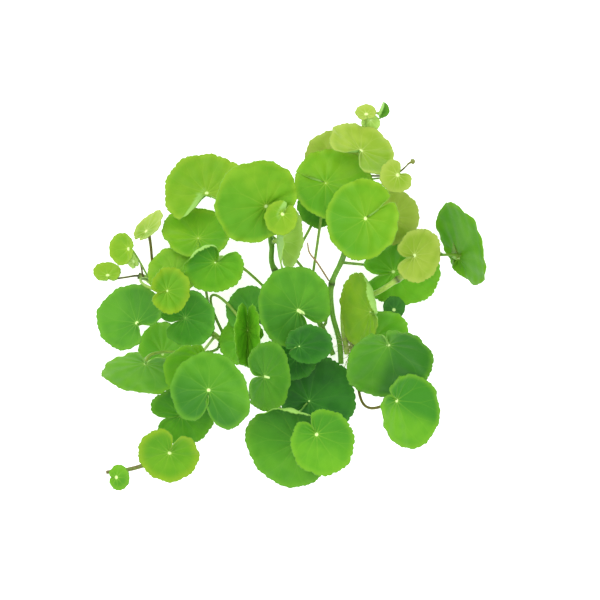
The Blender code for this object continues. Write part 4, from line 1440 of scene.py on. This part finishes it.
@dataclass
class FlowerBud:
    """The bud: a thin stalk and a closed head of five ribs on its end."""

    shift: np.ndarray
    ribs: int = 5
    rib_depth: float = 0.12
    head_radius: float = 1.5
    head_fullness: float = 0.8
    head_rings: int = 12
    head_sides: int = 30
    sides: int = 10
    step: float = 1.5
    darkness: float = 0.25

    def head(self, start: np.ndarray, end: np.ndarray, first: int) -> tuple[np.ndarray, list[np.ndarray]]:
        """Makes the head, round in the middle and pointed at its tip.

        Args:
            start: Where the head leaves the stalk.
            end: Its tip.
            first: Number of its first corner.

        Returns:
            The head's corners and groups of faces.
        """
        t = np.linspace(0.0, 1.0, self.head_rings + 2)[1:-1]
        radii = self.head_radius * np.sin(math.pi * t**self.head_fullness)
        middles = start + (end - start) * t[:, None]
        rings = tube_rings(middles, radii, np.array([0.0, 0.0, 1.0]), self.head_sides)
        angles = np.arange(self.head_sides) * TURN / self.head_sides
        ribbed = 1.0 - self.rib_depth * np.abs(np.sin(0.5 * self.ribs * angles))
        rings = [middle + (ring - middle) * ribbed[:, None] for middle, ring in zip(middles, rings)]
        corners = np.vstack([*rings, start, end])
        numbers = numbered(len(rings), self.head_sides, first)
        low, high = first + len(corners) - 2, first + len(corners) - 1
        groups = [strips(numbers), fan(numbers[0], low, closing=False), fan(numbers[-1], high, closing=True)]
        return corners, [faces[:, ::-1] for faces in groups]

    def build(self, tree: bpy.types.NodeTree, palette: Palette) -> None:
        """Makes the piece.

        Args:
            tree: The geometry tree that lays the stalk's skin.
            palette: Where the materials come from.
        """
        route = smooth_route(np.array(BUD_ROUTE), self.step)
        path = route[:, :3] + self.shift
        dark = np.full(len(path), self.darkness)
        source = path_mesh("bud_path", path, BUD_STALK_RADIUS * route[:, 3], dark)
        materials = [palette.get(Stalk.BROWN), palette.get(Stalk.BUD)]
        inputs = {"Sides": self.sides, "Roughness": 0.0, "Grain": 1.0, "Material": materials[0]}
        stalk = grown_from(tree, source, inputs, "flower_bud_grown")
        old = stalk.data
        corners = np.array([vertex.co[:] for vertex in old.vertices])
        head, groups = self.head(path[-1], np.array(BUD_TIP) + self.shift, len(corners))
        parts = [([polygon.vertices[:] for polygon in old.polygons], 0)] + [(faces, 1) for faces in groups]
        stalk.data = make_mesh("flower_bud_grown", np.vstack([corners, head * MM]), parts, materials)
        bpy.data.meshes.remove(old)
        settle_piece(stalk, "flower_bud")


@dataclass
class Roots:
    """The free root, and the wad of fine roots round the cut ends."""

    shift: np.ndarray
    middle: tuple[float, float] = (34.0, -24.0)
    size: tuple[float, float, float] = (6.4, 12.4, 4.6)
    lift: float = 0.1
    levels: int = 22
    sectors: int = 44
    rough: float = 0.09
    bumps: tuple[float, float] = (3.0, 5.0)
    drift: float = 10.0
    root_length: float = 9.0
    root_radius: float = 0.22
    wander: float = 9.0
    roots_per_mm2: float = 0.55
    seed: int = 4
    free_step: float = 0.8
    free_sides: int = 10
    free_roughness: float = 0.25
    free_grain_mm: float = 1.8

    def lump(self) -> bpy.types.Mesh:
        """Makes the wad's core: a low uneven lump, drawn out along the cut ends.

        Returns:
            The mesh.
        """
        angles = np.arange(self.sectors) * TURN / self.sectors
        x, y = self.middle
        width, length, height = self.size
        few, many = self.bumps
        rings = []
        for level in range(1, self.levels):
            climb = math.pi * level / self.levels
            drift = self.drift * level / self.levels
            rough = 1.0 + self.rough * (np.sin(few * angles + drift) + np.cos(many * angles))
            rings.append(np.stack([
                x + width * 0.5 * math.sin(climb) * np.cos(angles) * rough,
                y + length * 0.5 * math.sin(climb) * np.sin(angles) * rough,
                np.full(self.sectors, height * 0.5 * (1.0 + math.cos(climb)) + self.lift),
            ], axis=1))
        corners = np.vstack([*rings, (x, y, height + self.lift), (x, y, self.lift)]) + self.shift
        numbers = numbered(len(rings), self.sectors, 0)
        groups = [
            (strips(numbers), 0),
            (fan(numbers[0], len(corners) - 2, closing=False), 0),
            (fan(numbers[-1], len(corners) - 1, closing=True), 0),
        ]
        return make_mesh("root_lump", corners * MM, groups, [], smooth=False)

    def build(self, tube: bpy.types.NodeTree, palette: Palette) -> None:
        """Makes both pieces.

        Args:
            tube: The geometry tree that lays a skin round a path.
            palette: Where the materials come from.
        """
        inputs = {
            "Density": self.roots_per_mm2 / MM**2,
            "Length": self.root_length * MM,
            "Thickness": self.root_radius * MM,
            "Wander": self.wander * MM,
            "Seed": self.seed,
            "Material": palette.get(Stalk.ROOT),
        }
        settle_piece(grown_from(RootTree().build(), self.lump(), inputs, "root_wad_grown"), "root_wad")
        route = smooth_route(np.array(FREE_ROOT), self.free_step)
        thick = FREE_ROOT_RADIUS * route[:, 3]
        source = path_mesh("free_root_path", route[:, :3] + self.shift, thick, np.zeros(len(route)))
        inputs = {
            "Sides": self.free_sides,
            "Roughness": self.free_roughness * MM,
            "Grain": 1.0 / (self.free_grain_mm * MM),
            "Material": palette.get(Stalk.ROOT_PINK),
        }
        settle_piece(grown_from(tube, source, inputs, "free_root_grown"), "free_root")


@dataclass
class Studio:
    """The pale table, the soft light and the camera that looks straight down."""

    shift: np.ndarray
    view_middle: tuple[float, float] = (5.75, -1.75)
    view_width: float = 300.0
    view_level: float = 30.0
    distance: float = 3000.0
    sensor: float = 36.0
    view_end: float = 100.0
    floor_half: float = 4.0
    world_strength: float = 1.0
    light_size: float = 1.6
    key_power: float = 21.0
    key_place: tuple[float, float, float] = (-0.7, 0.7, 1.5)
    fill_power: float = 10.5
    fill_place: tuple[float, float, float] = (0.9, -0.4, 1.3)

    def floor(self) -> None:
        """Lays the table's top just under the bunch."""
        half = self.floor_half
        corners = np.array([(-half, -half, 0.0), (half, -half, 0.0), (half, half, 0.0), (-half, half, 0.0)])
        finishes = [FloorFinish().material()]
        mesh = make_mesh("studio_table", corners, [([(0, 1, 2, 3)], 0)], finishes, smooth=False)
        link("studio_table", mesh)

    def light(self, name: str, place: tuple[float, float, float], power: float) -> None:
        """Hangs one large soft light that points at the bunch.

        Args:
            name: The light's name.
            place: Where it hangs, in metres.
            power: Its power in watts.
        """
        lamp = bpy.data.lights.new(name, "AREA")
        lamp.energy = power
        lamp.size = self.light_size
        holder = bpy.data.objects.new(name, lamp)
        holder.location = place
        holder.rotation_euler = Vector(place).to_track_quat("Z", "Y").to_euler()
        bpy.context.scene.collection.objects.link(holder)

    def camera(self) -> None:
        """Sets the camera over the middle of the photograph."""
        made = bpy.data.cameras.new("camera")
        made.sensor_width = self.sensor
        made.lens = self.sensor * self.distance / self.view_width
        made.clip_end = self.view_end
        holder = bpy.data.objects.new("camera", made)
        middle = np.array([*self.view_middle, self.distance + self.view_level]) + self.shift
        holder.location = middle * MM
        bpy.context.scene.collection.objects.link(holder)
        bpy.context.scene.camera = holder

    def build(self) -> None:
        """Sets up everything round the bunch."""
        self.camera()
        self.floor()
        self.light("key light", self.key_place, self.key_power)
        self.light("fill light", self.fill_place, self.fill_power)
        world = bpy.data.worlds.new("studio")
        world.use_nodes = True
        sky = world.node_tree.nodes["Background"]
        sky.inputs["Color"].default_value = (1.0, 1.0, 1.0, 1.0)
        sky.inputs["Strength"].default_value = self.world_strength
        bpy.context.scene.world = world
        bpy.context.scene.view_settings.view_transform = "Standard"


def main() -> None:
    """Builds the bunch piece by piece."""
    logging.basicConfig(level=logging.INFO, format="%(name)s: %(message)s")
    shift = page_shift()
    Studio(shift).build()
    palette = Palette()
    routes = {
        name: smooth_route(np.array(points), STEM_STEP) + np.append(shift, 0.0)
        for name, points in STEMS.items()
    }
    everywhere = np.vstack([route[:, :3] for route in routes.values()])
    joints = np.array([LeafPiece(leaf, everywhere).build(palette) for leaf in LEAVES])
    tube = TubeTree().build()
    for name, route in routes.items():
        given = np.array(STEMS[name])
        knots = given[given[:, 3] == KNOT, :3] + shift
        Stem(name, route[:, :3], route[:, 3], joints, knots if len(knots) else FAR_AWAY).build(tube, palette)
    FlowerBud(shift).build(tube, palette)
    Roots(shift).build(tube, palette)


if __name__ == "__main__":
    main()
